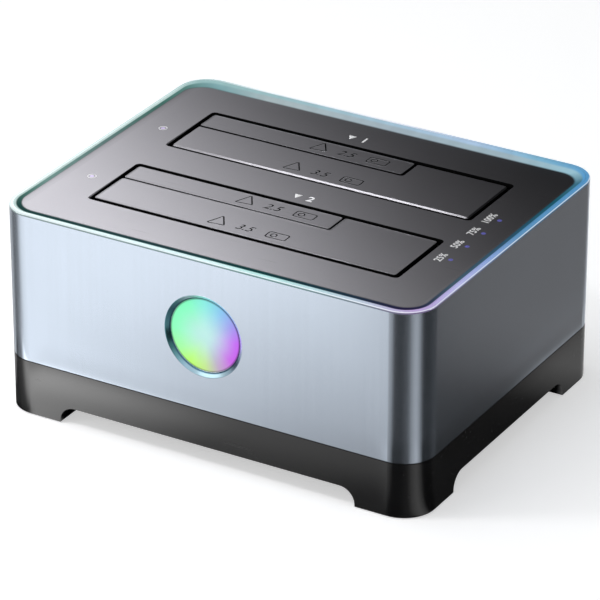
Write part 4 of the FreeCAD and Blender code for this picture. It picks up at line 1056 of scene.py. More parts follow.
def closed_loop(corners: np.ndarray, radius: float | np.ndarray, steps: int = 5) -> np.ndarray:
    """A polygon with rounded corners.

    Each corner is an arc that touches both of its sides. With half the corner's inner angle a, the
    arc's centre lies on the corner's bisector, the radius over the sine of a from the corner, and
    the arc turns by the angle between the normals of the two sides, left or right as they do.

    Args:
        corners: the corners, turning left as a whole, one row each.
        radius: the radius of the arcs, one number or one for each corner.
        steps: the spans in each arc.

    Returns:
        The points of the loop, one row each.
    """
    back = np.roll(corners, 1, 0) - corners
    ahead = np.roll(corners, -1, 0) - corners
    back /= np.linalg.norm(back, axis=1)[:, None]
    ahead /= np.linalg.norm(ahead, axis=1)[:, None]
    half = np.arccos(np.clip((back * ahead).sum(1), -1, 1)) / 2
    bisector = back + ahead
    bisector /= np.linalg.norm(bisector, axis=1)[:, None]
    radii = np.broadcast_to(radius, len(corners))
    centre = corners + bisector * (radii / np.sin(half))[:, None]
    outward = np.arctan2(-bisector[:, 1], -bisector[:, 0])
    left = np.sign(back[:, 1] * ahead[:, 0] - back[:, 0] * ahead[:, 1])
    sweep = (np.pi / 2 - half) * left
    share = np.linspace(-1, 1, steps + 1)
    angle = outward[:, None] + sweep[:, None] * share[None, :]
    arc = np.stack([np.cos(angle), np.sin(angle)], -1) * radii[:, None, None]
    return (centre[:, None, :] + arc).reshape(-1, 2)


def closed_rows(name: str, rows: np.ndarray) -> bpy.types.Object:
    """A closed surface from rows of points that run round it, closed along and across the rows.

    Args:
        name: the object's name.
        rows: the rows, as an array of rows, points and coordinates. Seen from outside, the next
            row lies to the left of the way that the points of a row run.

    Returns:
        The object.
    """
    sides, count = rows.shape[:2]
    step, side = np.meshgrid(np.arange(count), np.arange(sides), indexing="ij")
    here, there = side * count, (side + 1) % sides * count
    ahead = (step + 1) % count
    faces = np.stack([here + step, here + ahead, there + ahead, there + step], -1).reshape(-1, 4)
    return mesh_object(name, rows.reshape(-1, 3), faces)


def ribbon(name: str, loop: np.ndarray, width: float, level: float, height: float,
           top: float = 0.34) -> bpy.types.Object:
    """A closed ribbon that lies on a level surface: a trapezoid carried along a loop.

    Each point of the loop is moved outwards and inwards by half the width, along the mean of the
    normals of its two spans, to make the foot, and by a share of the width to make the top.

    Args:
        name: the object's name.
        loop: the points of the loop, turning left.
        width: the width of the ribbon's foot.
        level: the level that the ribbon lies on.
        height: how far it stands up.
        top: the share of the width.

    Returns:
        The ribbon.
    """
    ahead = np.roll(loop, -1, 0) - loop
    ahead /= np.linalg.norm(ahead, axis=1)[:, None]
    tangent = ahead + np.roll(ahead, 1, 0)
    tangent /= np.linalg.norm(tangent, axis=1)[:, None]
    normal = np.stack([tangent[:, 1], -tangent[:, 0]], 1)
    offsets = np.array([0.5, top, -top, -0.5]) * width
    heights = np.array([0.0, height, height, 0.0]) + level
    flat = loop[None, :, :] + normal[None, :, :] * offsets[:, None, None]
    rise = np.broadcast_to(heights[:, None, None], flat.shape[:2] + (1,))
    return closed_rows(name, np.concatenate([flat, rise], 2))


def disc(name: str, loop: np.ndarray, level: float, height: float,
         top: float = 0.97) -> bpy.types.Object:
    """A low, flat-topped plate: a loop at the foot, a smaller one on top, and a fan on each.

    Args:
        name: the object's name.
        loop: the outline, turning left.
        level: the level that the plate lies on.
        height: how far it stands up.
        top: the size of the top, as a share of the foot.

    Returns:
        The plate.
    """
    centre = loop.mean(0)
    count = len(loop)
    rows = [lifted(loop, level), lifted(centre + (loop - centre) * top, level + height)]
    ends = np.array([[*centre, level], [*centre, level + height]])
    here = np.arange(count)
    there = (here + 1) % count
    foot, peak = np.full(count, 2 * count), np.full(count, 2 * count + 1)
    faces = ((here, there, there + count), (here, there + count, here + count),
             (foot, there, here), (peak, here + count, there + count))
    faces = np.concatenate([np.stack(face, 1) for face in faces])
    return mesh_object(name, np.concatenate([*rows, ends]), faces)


def lettering(name: str, words: str, size: float, at: Vector, height: float, slant: float = 0.0,
              turn: float = 0.0, width: float = 1.0, weight: float = 0.0) -> bpy.types.Object:
    """Plain numbers as a thin solid, lying on a level surface and centred on a point.

    The points are centred, drawn wider by the width, and turned about Z.

    Args:
        name: the object's name.
        words: the numbers.
        size: the height of the type's body.
        at: the middle of the numbers, on the surface.
        height: how far they stand up.
        slant: how far they lean.
        turn: how far they are turned about Z.
        width: how wide they are drawn, as a share of the type's own width.
        weight: how much thicker than the type's own strokes.

    Returns:
        The numbers, as a mesh at the origin.
    """
    curve = bpy.data.curves.new(name, "FONT")
    curve.body = words
    curve.size = size
    curve.shear = slant
    curve.offset = weight
    curve.align_x = "CENTER"
    curve.align_y = "CENTER"
    curve.extrude = height / 2
    curve.resolution_u = 4
    source = linked(name + "_type", curve)
    final = source.evaluated_get(bpy.context.evaluated_depsgraph_get())
    mesh = bpy.data.meshes.new_from_object(final)
    bpy.data.objects.remove(source)
    bpy.data.curves.remove(curve)
    points = np.zeros(len(mesh.vertices) * 3, np.float32)
    mesh.vertices.foreach_get("co", points)
    points = points.reshape(-1, 3)
    points -= (points.min(0) + points.max(0)) / 2
    x, y, z = points[:, 0] * width, points[:, 1], points[:, 2]
    cosine, sine = math.cos(turn), math.sin(turn)
    turned = np.stack([x * cosine - y * sine, x * sine + y * cosine, z], 1)
    turned += np.array([at.x, at.y, at.z + height / 2])
    mesh.vertices.foreach_set("co", turned.astype(np.float32).ravel())
    mesh.update()
    mesh.name = name
    return linked(name, mesh)


def carry_share(piece: bpy.types.Object, share: np.ndarray) -> None:
    """Gives the points of a piece the attribute "across", one share for each point."""
    carried = piece.data.attributes.new("across", "FLOAT", "POINT")
    carried.data.foreach_set("value", share.astype(np.float32))


def dress(piece: bpy.types.Object, finish: Finish) -> None:
    """Gives a piece one finish all over."""
    piece.data.materials.clear()
    piece.data.materials.append(finish.material())


def settle(piece: bpy.types.Object, finish: Finish, body: str) -> None:
    """Dresses a new piece, makes it ride on a body and logs it.

    Args:
        piece: the piece.
        finish: its finish.
        body: the body that it rides on.
    """
    dress(piece, finish)
    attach(piece, body)
    log.info("%-28s rides on %s", piece.name, body)


# -------------------- The dock --------------------


class Bay(Enum):
    """The two drive bays, by their place on the cover."""

    REAR = "rear"
    FRONT = "front"


@dataclass
class CarriedParts:
    """The construction nodes, each with the finish of its material slot.

    Args:
        finish: the finish of each slot.
        own: nodes whose finish isn't their slot's.
    """

    finish: dict[Slot, Finish]
    own: dict[str, Finish] = field(default_factory=dict)

    def dress(self) -> None:
        """Dresses every node by the slot that its own material is named after."""
        for name, piece in sorted(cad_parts.items()):
            slot = Slot(piece.data.materials[0].name.split(".")[0])
            finish = self.own.get(name) or self.finish[slot]
            dress(piece, finish)
            log.info("%-28s %s", name, finish.name)


@dataclass
class EngravedMark:
    """The mark in one flap: a triangle that points to the hinge, a number and a drive's outline.

    Each line is a painted shade over a painted highlight on its lower edge, so a mark is two thin
    layers.

    Args:
        name: the mark's name.
        body: the body that the flap belongs to.
        number: the number.
        at: the middle of the number, on the flap.
        line: the width of a line.
        number_size, number_slant: the height of the number's type, and how far it leans.
        triangle_reach: from the triangle's middle to its corners.
        triangle_stretch: how much longer it is along X and Y.
        triangle_gap, drive_gap: from the number left to the triangle, and right to the drive.
        drive_size: the length and the width of the drive.
        triangle_bend, drive_bend: the radius of their corners.
        spindle_reach: the radius of the drive's disc, over the drive's width.
        spindle_shift: how far the disc is left of the middle, over the drive's length.
        edge_shift: how far the painted highlight is moved.
        edge_height, painted_shade_height: how far the painted highlight and the painted
        shade stand up.
    """

    name: str
    body: str
    number: str
    at: Vector
    line: float = 0.44 * MM
    number_size: float = 4.6 * MM
    number_slant: float = 0.25
    triangle_reach: float = 2.9 * MM
    triangle_stretch: Pair = (1.1, 1.25)
    triangle_bend: float = 0.25 * MM
    triangle_gap: float = 9.3 * MM
    drive_gap: float = 10.6 * MM
    drive_size: Pair = (6.6 * MM, 3.6 * MM)
    drive_bend: float = 0.7 * MM
    spindle_reach: float = 0.26
    spindle_shift: float = 0.18
    edge_shift: Vector = Vector((0.14 * MM, -0.16 * MM, 0.0))
    edge_height: float = 0.012 * MM
    painted_shade_height: float = 0.024 * MM

    def triangle(self, at: Vector) -> np.ndarray:
        """The loop of the triangle.

        Its corners are a third of a turn apart, and the first points to the back.

        Args:
            at: the triangle's middle.

        Returns:
            The points of the loop, one row each.
        """
        angle = np.radians([95.0, 215.0, 335.0])
        corners = np.stack([np.cos(angle), np.sin(angle)], 1) * self.triangle_reach
        return closed_loop(corners * self.triangle_stretch + at.xy, self.triangle_bend)

    def drive(self, at: Vector) -> np.ndarray:
        """The drive's outline: a rectangle with round corners."""
        half = np.array(self.drive_size) / 2
        return closed_loop(rectangle(*-half, *half) + at.xy, self.drive_bend)

    def spindle(self, at: Vector) -> np.ndarray:
        """The round of the drive's disc: a circle in its left half."""
        centre = np.array([at.x - self.drive_size[0] * self.spindle_shift, at.y])
        return circle(24) * self.drive_size[1] * self.spindle_reach + centre

    def layer(self, suffix: str, shift: Vector, height: float, finish: Finish) -> None:
        """Builds one layer of the mark.

        Args:
            suffix: the end of the layer's names.
            shift: how far the layer is moved.
            height: how far it stands up.
            finish: its finish.
        """
        at = self.at + shift
        left, right = Vector((self.triangle_gap, 0, 0)), Vector((self.drive_gap, 0, 0))
        loops = {"triangle": self.triangle(at - left), "outline": self.drive(at + right),
                 "spindle": self.spindle(at + right)}
        pieces = [ribbon(f"{self.name}_{part}_{suffix}", loop, self.line, at.z, height)
                  for part, loop in loops.items()]
        pieces.append(lettering(f"{self.name}_number_{suffix}", self.number, self.number_size, at,
                                height, slant=self.number_slant))
        for piece in pieces:
            settle(piece, finish, self.body)

    def build(self) -> None:
        """Builds the painted highlight, then the painted shade on top of it."""
        self.layer("edge", self.edge_shift, self.edge_height, ENGRAVING_PAINTED_HIGHLIGHT)
        self.layer("cut", Vector((0, 0, 0)), self.painted_shade_height, ENGRAVING_PAINTED_SHADE)


@dataclass
class CoverPrint:
    """What is printed in white on the cover: bay numbers, light symbols and the progress scale.

    Args:
        height: how far the ink stands up.
        numbers: for each bay its number, the number's X and how far it is behind the hinge.
        number_size, number_weight: the height of its type, and how much thicker it is.
        number_gap: how far it is moved to the right.
        arrow: the size of the arrow beside it, which is moved as far to the left.
        arrow_bend: the radius of the arrow's corners.
        scale_steps: the labels of the progress lights, from the front.
        scale_size, scale_width, scale_weight: the height, width and thickness of their type.
        scale_gap: from a light to its label.
        symbol, symbol_line: the radius of the ring round a bay light, and its line's width.
    """

    height: float = 0.02 * MM
    numbers: tuple[tuple[Bay, str, float, float], ...] = (
        (Bay.REAR, "1", -3.7 * MM, 0.2 * MM),
        (Bay.FRONT, "2", 3.0 * MM, -0.6 * MM),
    )
    number_size: float = 4.4 * MM
    number_gap: float = 2 * MM
    number_weight: float = 0.1 * MM
    arrow: float = 2.6 * MM
    arrow_bend: float = 0.12 * MM
    scale_steps: tuple[str, ...] = ("25%", "50%", "75%", "100%")
    scale_size: float = 3.3 * MM
    scale_gap: float = 3.2 * MM
    scale_width: float = 0.95
    scale_weight: float = 0.05 * MM
    symbol: float = 1.25 * MM
    symbol_line: float = 0.24 * MM

    def build(self) -> None:
        """Builds all the prints."""
        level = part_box("rear_large_flap")[1].z
        for bay, number, x, behind in self.numbers:
            hinge_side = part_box(f"{bay.value}_hinge_pin")[1].y
            self.bay_number(bay, number, Vector((x, hinge_side + behind, level)))
        self.scale(level)
        self.symbols(level)

    def add(self, piece: bpy.types.Object) -> None:
        """Inks a print and lets it ride on the case."""
        settle(piece, PRINT_WHITE, "case")

    def bay_number(self, bay: Bay, number: str, at: Vector) -> None:
        """Builds an arrow that points at the bay, and the bay's number.

        Args:
            bay: the bay.
            number: its number.
            at: the place between the arrow and the number, on the cover.
        """
        corners = np.array([[-0.5, 0.45], [0.0, -0.55], [0.5, 0.45]]) * self.arrow
        loop = closed_loop(corners + np.array([at.x - self.arrow, at.y]), self.arrow_bend)
        self.add(disc(f"{bay.value}_bay_arrow", loop, at.z, self.height))
        right = at + Vector((self.number_gap, 0, 0))
        self.add(lettering(f"{bay.value}_bay_number", number, self.number_size, right, self.height,
                           weight=self.number_weight))

    def scale(self, level: float) -> None:
        """Builds the progress scale: a label to the left of each light, reading along Y.

        Args:
            level: the level of the cover.
        """
        low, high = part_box("progress_light_pipes")
        radius = half_width("progress_light_pipes")
        places = np.linspace(low.y + radius, high.y - radius, len(self.scale_steps))
        for words, y in zip(self.scale_steps, places):
            at = Vector((low.x + radius - self.scale_gap, y, level))
            self.add(lettering("progress_" + words.rstrip("%"), words, self.scale_size, at,
                               self.height, turn=math.pi / 2, width=self.scale_width,
                               weight=self.scale_weight))

    def symbols(self, level: float) -> None:
        """Builds a ring round each bay light.

        Args:
            level: the level of the cover.
        """
        low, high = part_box("bay_light_pipes")
        radius = half_width("bay_light_pipes")
        for bay, y in ((Bay.REAR, high.y - radius), (Bay.FRONT, low.y + radius)):
            loop = circle(32) * self.symbol + np.array([low.x + radius, y])
            ring = ribbon(f"{bay.value}_bay_light_ring", loop, self.symbol_line, level, self.height)
            self.add(ring)


@dataclass
class Flaps:
    """The marks in the four flaps: in the middle of a small one, at the front of a large one.

    Args:
        marks: for each size of flap its number and how far the mark is in front of the hinge.
        x: the X of the numbers.
    """

    marks: tuple[tuple[str, str, float], ...] = (("small", "2.5", 10.2 * MM),
                                                 ("large", "3.5", 26.0 * MM))
    x: float = -1.5 * MM

    def build(self) -> None:
        """Builds a mark in each flap."""
        for bay in Bay:
            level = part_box(f"{bay.value}_large_flap")[1].z
            hinge = middle(f"{bay.value}_hinge_pin").y
            for size, number, ahead in self.marks:
                name = f"{bay.value}_{size}"
                at = Vector((self.x, hinge - ahead, level))
                EngravedMark(name, f"{name}_flap_set", number, at).build()


@dataclass(frozen=True)
class Outline:
    """A polygon with rounded corners that can grow.

    Args:
        corners: its corners, turning left, one row each.
        ways: the way that each of them moves when it grows, as signs of X and Y.
        radius: the radius of each, below zero in a hollow corner.
        least: the smallest radius that a corner may get.
    """

    corners: np.ndarray
    ways: np.ndarray
    radius: np.ndarray
    least: float = 0.1 * MM

    def row(self, out: float | np.ndarray, height: float | np.ndarray) -> np.ndarray:
        """One row of points round the outline.

        Args:
            out: how far the outline has grown, one number or one for each corner.
            height: the row's height, one number or one for each corner.

        Returns:
            The points, one row each.
        """
        count = len(self.corners)
        out = np.broadcast_to(out, count)
        radius = np.maximum(np.abs(self.radius) + out * np.sign(self.radius), self.least)
        loop = closed_loop(self.corners + self.ways * out[:, None], radius)
        return lifted(loop, np.repeat(np.broadcast_to(height, count), len(loop) // count))


@dataclass
class GapPaintedShade:
    """Painted shade in the gaps round the openings and the flaps.

    A black skin of painted shade lies over each wall, and over the chamfer at the back of each
    opening. A lip in the flap's own finish squares the chamfer of a flap, but for the rear large
    one, whose front edge stays bright.

    Args:
        opening, small: the length and the width of an opening and of a small flap.
        opening_bend, flap_bend: the radius of the corners of an opening and of a flap.
        behind: from the back of an opening to the hinge's axis.
        gap, split: the gap from a flap to its opening, and between the two flaps.
        foot: how deep the skins reach.
        off, into: how far a skin stands off its wall, and how far it goes into it.
        lap, thick: how far an opening's skin lies over the chamfer, and how thick it is there.
        chamfer: how deep the lap's line meets the wall, and the skin bends, outside and inside.
        top: how deep a flap's skin ends under a lip, and where there is none.
        lip: the section of a lip in millimetres: how far each row is outside the flap and above it.
    """

    opening: Pair = (103.8 * MM, 27.6 * MM)
    opening_bend: float = 1.2 * MM
    behind: float = 4.4 * MM
    gap: float = 1.3 * MM
    split: float = 0.7 * MM
    small: Pair = (70.0 * MM, 8.65 * MM)
    flap_bend: float = 0.8 * MM
    foot: float = 1.7 * MM
    off: float = 0.02 * MM
    into: float = 0.04 * MM
    lap: float = 0.35 * MM
    thick: float = 0.03 * MM
    chamfer: tuple[Pair, Pair] = ((0.32 * MM, 0.34 * MM), (0.41 * MM, 0.38 * MM))
    top: Pair = (0.02 * MM, 0.42 * MM)
    lip: tuple[Pair, ...] = ((-0.04, -0.38), (0.02, -0.015), (0.01, 0.012), (-0.44, 0.012),
                             (-0.46, -0.03))

    def skin(self, name: str, outline: Outline, rows: list[tuple], finish: Finish, slot: Slot,
             body: str) -> None:
        """Builds one skin: rows carried round an outline.

        Args:
            name: the skin's name.
            outline: its outline.
            rows: how far outside the outline each row runs, and its height.
            finish: the skin's finish.
            slot: the slot of the part under it; not used.
            body: the body that it rides on.
        """
        skin = closed_rows(name, np.stack([outline.row(*row) for row in rows]))
        settle(skin, finish, body)

    def opening_edge(self, bay: Bay, flat: float, back: float) -> None:
        """Builds the skin of painted shade in one opening: down its wall, and over its chamfer at
        the back.

        Args:
            bay: the opening's bay.
            flat: the height of the cover's flat.
            back: the Y of the opening's back.
        """
        ways = rectangle(-1, -1, 1, 1)
        half = np.array(self.opening) / 2
        corners = np.array([0.0, back - half[1]]) + ways * half
        front = np.array([1.0, 1.0, 0.0, 0.0])
        over = self.lap * (1 - front) + self.off * front
        under = over + self.thick
        (above, bend_out), (below, bend_in) = self.chamfer
        rows = [(over, flat - above + over), (-self.off, flat - bend_out),
                (-self.off, flat - self.foot), (self.into, flat - self.foot),
                (self.into, flat - bend_in), (under, flat - below + under)]
        outline = Outline(corners, ways, np.full(4, self.opening_bend))
        # The skin in the opening is painted shade.
        self.skin(f"{bay.value}_opening_edge", outline, rows, GAP_PAINTED_SHADE, Slot.COVER, "case")

    def flap_edge(self, name: str, outline: Outline, flat: float, lipped: bool) -> None:
        """Builds the skin of painted shade down the wall of one flap, and its lip.

        Args:
            name: the flap's name.
            outline: its outline.
            flat: the height of its top.
            lipped: whether it has a lip.
        """
        body, foot = f"{name}_flap_set", flat - self.foot
        top = flat - self.top[0 if lipped else 1]
        rows = [(self.off, foot), (self.off, top), (-self.into, top), (-self.into, foot)]
        # The skin down the flap's wall is painted shade.
        self.skin(f"{name}_edge", outline, rows, GAP_PAINTED_SHADE, Slot.FLAP, body)
        if lipped:
            rows = [(out * MM, flat + up * MM) for out, up in self.lip]
            self.skin(f"{name}_lip", outline, rows, finishes()[Slot.FLAP], Slot.FLAP, body)

    def build(self) -> None:
        """Builds the skins and the lips of both bays."""
        length, width = self.opening
        left, right = -length / 2 + self.gap, length / 2 - self.gap
        for bay in Bay:
            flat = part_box(f"{bay.value}_large_flap")[1].z
            back = middle(f"{bay.value}_hinge_pin").y - self.behind
            self.opening_edge(bay, flat, back)
            front, rear = back - width + self.gap, back - self.gap
            step_x, step_y = left + self.small[0], rear - self.small[1]
            small = Outline(rectangle(left, step_y, step_x, rear), rectangle(-1, -1, 1, 1),
                            np.full(4, self.flap_bend))
            self.flap_edge(f"{bay.value}_small", small, flat, lipped=True)
            step_x, step_y = step_x + self.split, step_y - self.split
            corners = [[left, front], [right, front], [right, rear], [step_x, rear],
                       [step_x, step_y], [left, step_y]]
            ways = [[-1, -1], [1, -1], [1, 1], [-1, 1], [-1, 1], [-1, 1]]
            radius = np.array([1, 1, 1, 1, -1, 1]) * self.flap_bend
            large = Outline(np.array(corners), np.array(ways), radius)
            self.flap_edge(f"{bay.value}_large", large, flat, lipped=bay is Bay.FRONT)


@dataclass
class CoverBorder:
    """The border of the cover beside the light ring, over the hollow that the cover has there.

    At a distance d from the shell's outer edge the hollow stands R - sqrt(R R - (D - d)(D - d))
    above the flat of the cover, with R its radius and D the distance at which it ends.

    Args:
        start: from the shell's outer edge to the border's outer edge.
        reach: from the shell's outer edge to the border's inner edge, at the left, the front, the
            right and the back.
        bend: the radius of the shell's upright corners.
        tighter: how much smaller the radius of the inner edge's corners is.
        radius, hollow: the radius R of the hollow, and the distance D at which it ends.
        above: how far the border stands above the hollow.
        rows, steps: the rows across the border, and the spans in each corner.
    """

    start: float = 1.38 * MM
    reach: tuple[float, float, float, float] = (2.9 * MM, 5.3 * MM, 4.1 * MM, 5.7 * MM)
    bend: float = 10 * MM
    tighter: float = 3.5 * MM
    radius: float = 6.6 * MM
    hollow: float = 4.8 * MM
    above: float = 0.05 * MM
    rows: int = 9
    steps: int = 14

    def level(self, points: np.ndarray) -> np.ndarray:
        """The height of the cover at each point, from the point's distance to the outer edge.

        Args:
            points: the points, as an array that ends in X and Y.

        Returns:
            Their heights.
        """
        low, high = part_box("aluminium_shell")
        centre = np.array([low.x + high.x, low.y + high.y]) / 2
        half = np.array([high.x - low.x, high.y - low.y]) / 2
        past = np.abs(points - centre) - (half - self.bend)
        outside = np.linalg.norm(np.maximum(past, 0), axis=-1) + np.minimum(past.max(-1), 0)
        left = np.maximum(self.hollow - (self.bend - outside), 0)
        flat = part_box("rear_large_flap")[1].z
        return flat + self.radius - np.sqrt(self.radius**2 - left**2)

    def build(self) -> None:
        """Builds the border: rows between two rounded rectangles, above and below the cover."""
        low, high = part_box("aluminium_shell")
        left, front, right, back = self.reach
        start = self.start
        outer = rectangle(low.x + start, low.y + start, high.x - start, high.y - start)
        inner = rectangle(low.x + left, low.y + front, high.x - right, high.y - back)
        outer = closed_loop(outer, self.bend - start, self.steps)
        inner = closed_loop(inner, self.bend - self.tighter, self.steps)
        share = np.linspace(0, 1, self.rows)
        flat = outer * (1 - share[:, None, None]) + inner * share[:, None, None]
        level = self.level(flat)[..., None]
        over = np.concatenate([flat, level + self.above], 2)
        under = np.concatenate([flat, level - self.above], 2)[::-1]
        border = closed_rows("cover_border", np.concatenate([over, under]))
        carry_share(border, np.repeat(np.concatenate([share, share[::-1]]), len(outer)))
        # The border's material is painted light: a glow of the ring, a reflection and shade.
        lit = PaintedBorderLight("cover_border_painted_light", (0.1, 0.15, 0.15), 0.55, tuple(middle("light_ring")))
        settle(border, lit, "case")


@dataclass
class LensBezel:
    """A sheet over the shell's own bevel round the lens, which carries a painted reflection and a
    painted shadow.

    Args:
        inner, outer: its radius at the lens and at the front of the shell.
        depth: how deep it is.
        above: how far it stands above the shell's own bevel.
        way_up: the way that it stands above it, inwards and forwards.
        rows, spans: the rows across it, and the spans round it.
    """

    inner: float = 11.6 * MM
    outer: float = 13.05 * MM
    depth: float = 1.015 * MM
    above: float = 0.04 * MM
    way_up: Pair = (0.5, 0.8)
    rows: int = 7
    spans: int = 128

    def build(self) -> None:
        """Builds the bevel: two cones, one inside the other, closed at both ends."""
        centre = middle("front_lens")
        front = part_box("aluminium_shell")[0].y
        inwards, forwards = self.way_up
        share = np.linspace(0, 1, self.rows)
        share = np.concatenate([share, share[::-1]])
        lift = np.repeat([self.above, -self.above], self.rows)
        radius = self.inner + (self.outer - self.inner) * share - inwards * lift
        y = front + self.depth * (1 - share) - forwards * lift
        cosine, sine = circle(self.spans).T
        x = centre.x + radius[:, None] * cosine
        z = centre.z + radius[:, None] * sine
        rows = np.stack([x, np.broadcast_to(y[:, None], x.shape), z], -1)
        bezel = closed_rows("lens_bezel", rows)
        carry_share(bezel, np.repeat(share, self.spans))
        # The bevel's material is a metal with a painted reflection and a painted shadow.
        painted_reflection = Bezel("lens_bezel_painted_reflection", (0.3, 0.4, 0.45), 0.22, tuple(centre))
        settle(bezel, painted_reflection, "case")


# -------------------- The studio --------------------


def hang(name: str, data: bpy.types.ID, at: Point, aim: Point) -> bpy.types.Object:
    """Hangs a lamp or a camera.

    Args:
        name: its name.
        data: the lamp or the camera.
        at: where it hangs.
        aim: the point that it faces.

    Returns:
        Its object.
    """
    made = linked(name, data)
    made.location = at
    made.rotation_mode = "QUATERNION"
    made.rotation_quaternion = (Vector(aim) - Vector(at)).to_track_quat("-Z", "Y")
    return made


@dataclass(frozen=True)
class SoftBox:
    """A rectangular white lamp that points at the dock.

    Args:
        name: the lamp's name.
        at: where it stands.
        size: its width and height.
        power: its power in watts.
        aim: the point that it faces.
    """

    name: str
    at: Point
    size: Pair
    power: float
    aim: Point = (0.0, 0.0, 30 * MM)

    def build(self) -> None:
        """Hangs the lamp."""
        lamp = bpy.data.lights.new(self.name, "AREA")
        lamp.shape = "RECTANGLE"
        lamp.size, lamp.size_y = self.size
        lamp.energy = self.power
        hang(self.name, lamp, self.at, self.aim)


def sheet(name: str, corners: np.ndarray) -> tuple[bpy.types.Object, Tree]:
    """A flat, four-cornered sheet of the stage.

    Args:
        name: the sheet's name.
        corners: its corners, one row each.

    Returns:
        The sheet, and the tree of its material, which still has no nodes.
    """
    made = mesh_object(name, corners, np.array([[0, 1, 2, 3]]))
    material = bpy.data.materials.new(name)
    made.data.materials.append(material)
    return made, empty_tree(material)


def card(name: str, corners: np.ndarray) -> Tree:
    """Hangs a reflection card: a sheet that only polished surfaces see.

    Args:
        name: the card's name.
        corners: its corners, one row each.

    Returns:
        The tree of its material, which still has no nodes.
    """
    made, tree = sheet(name, corners)
    made.visible_camera = False
    made.visible_diffuse = False
    made.visible_shadow = False
    made.visible_transmission = False
    return tree


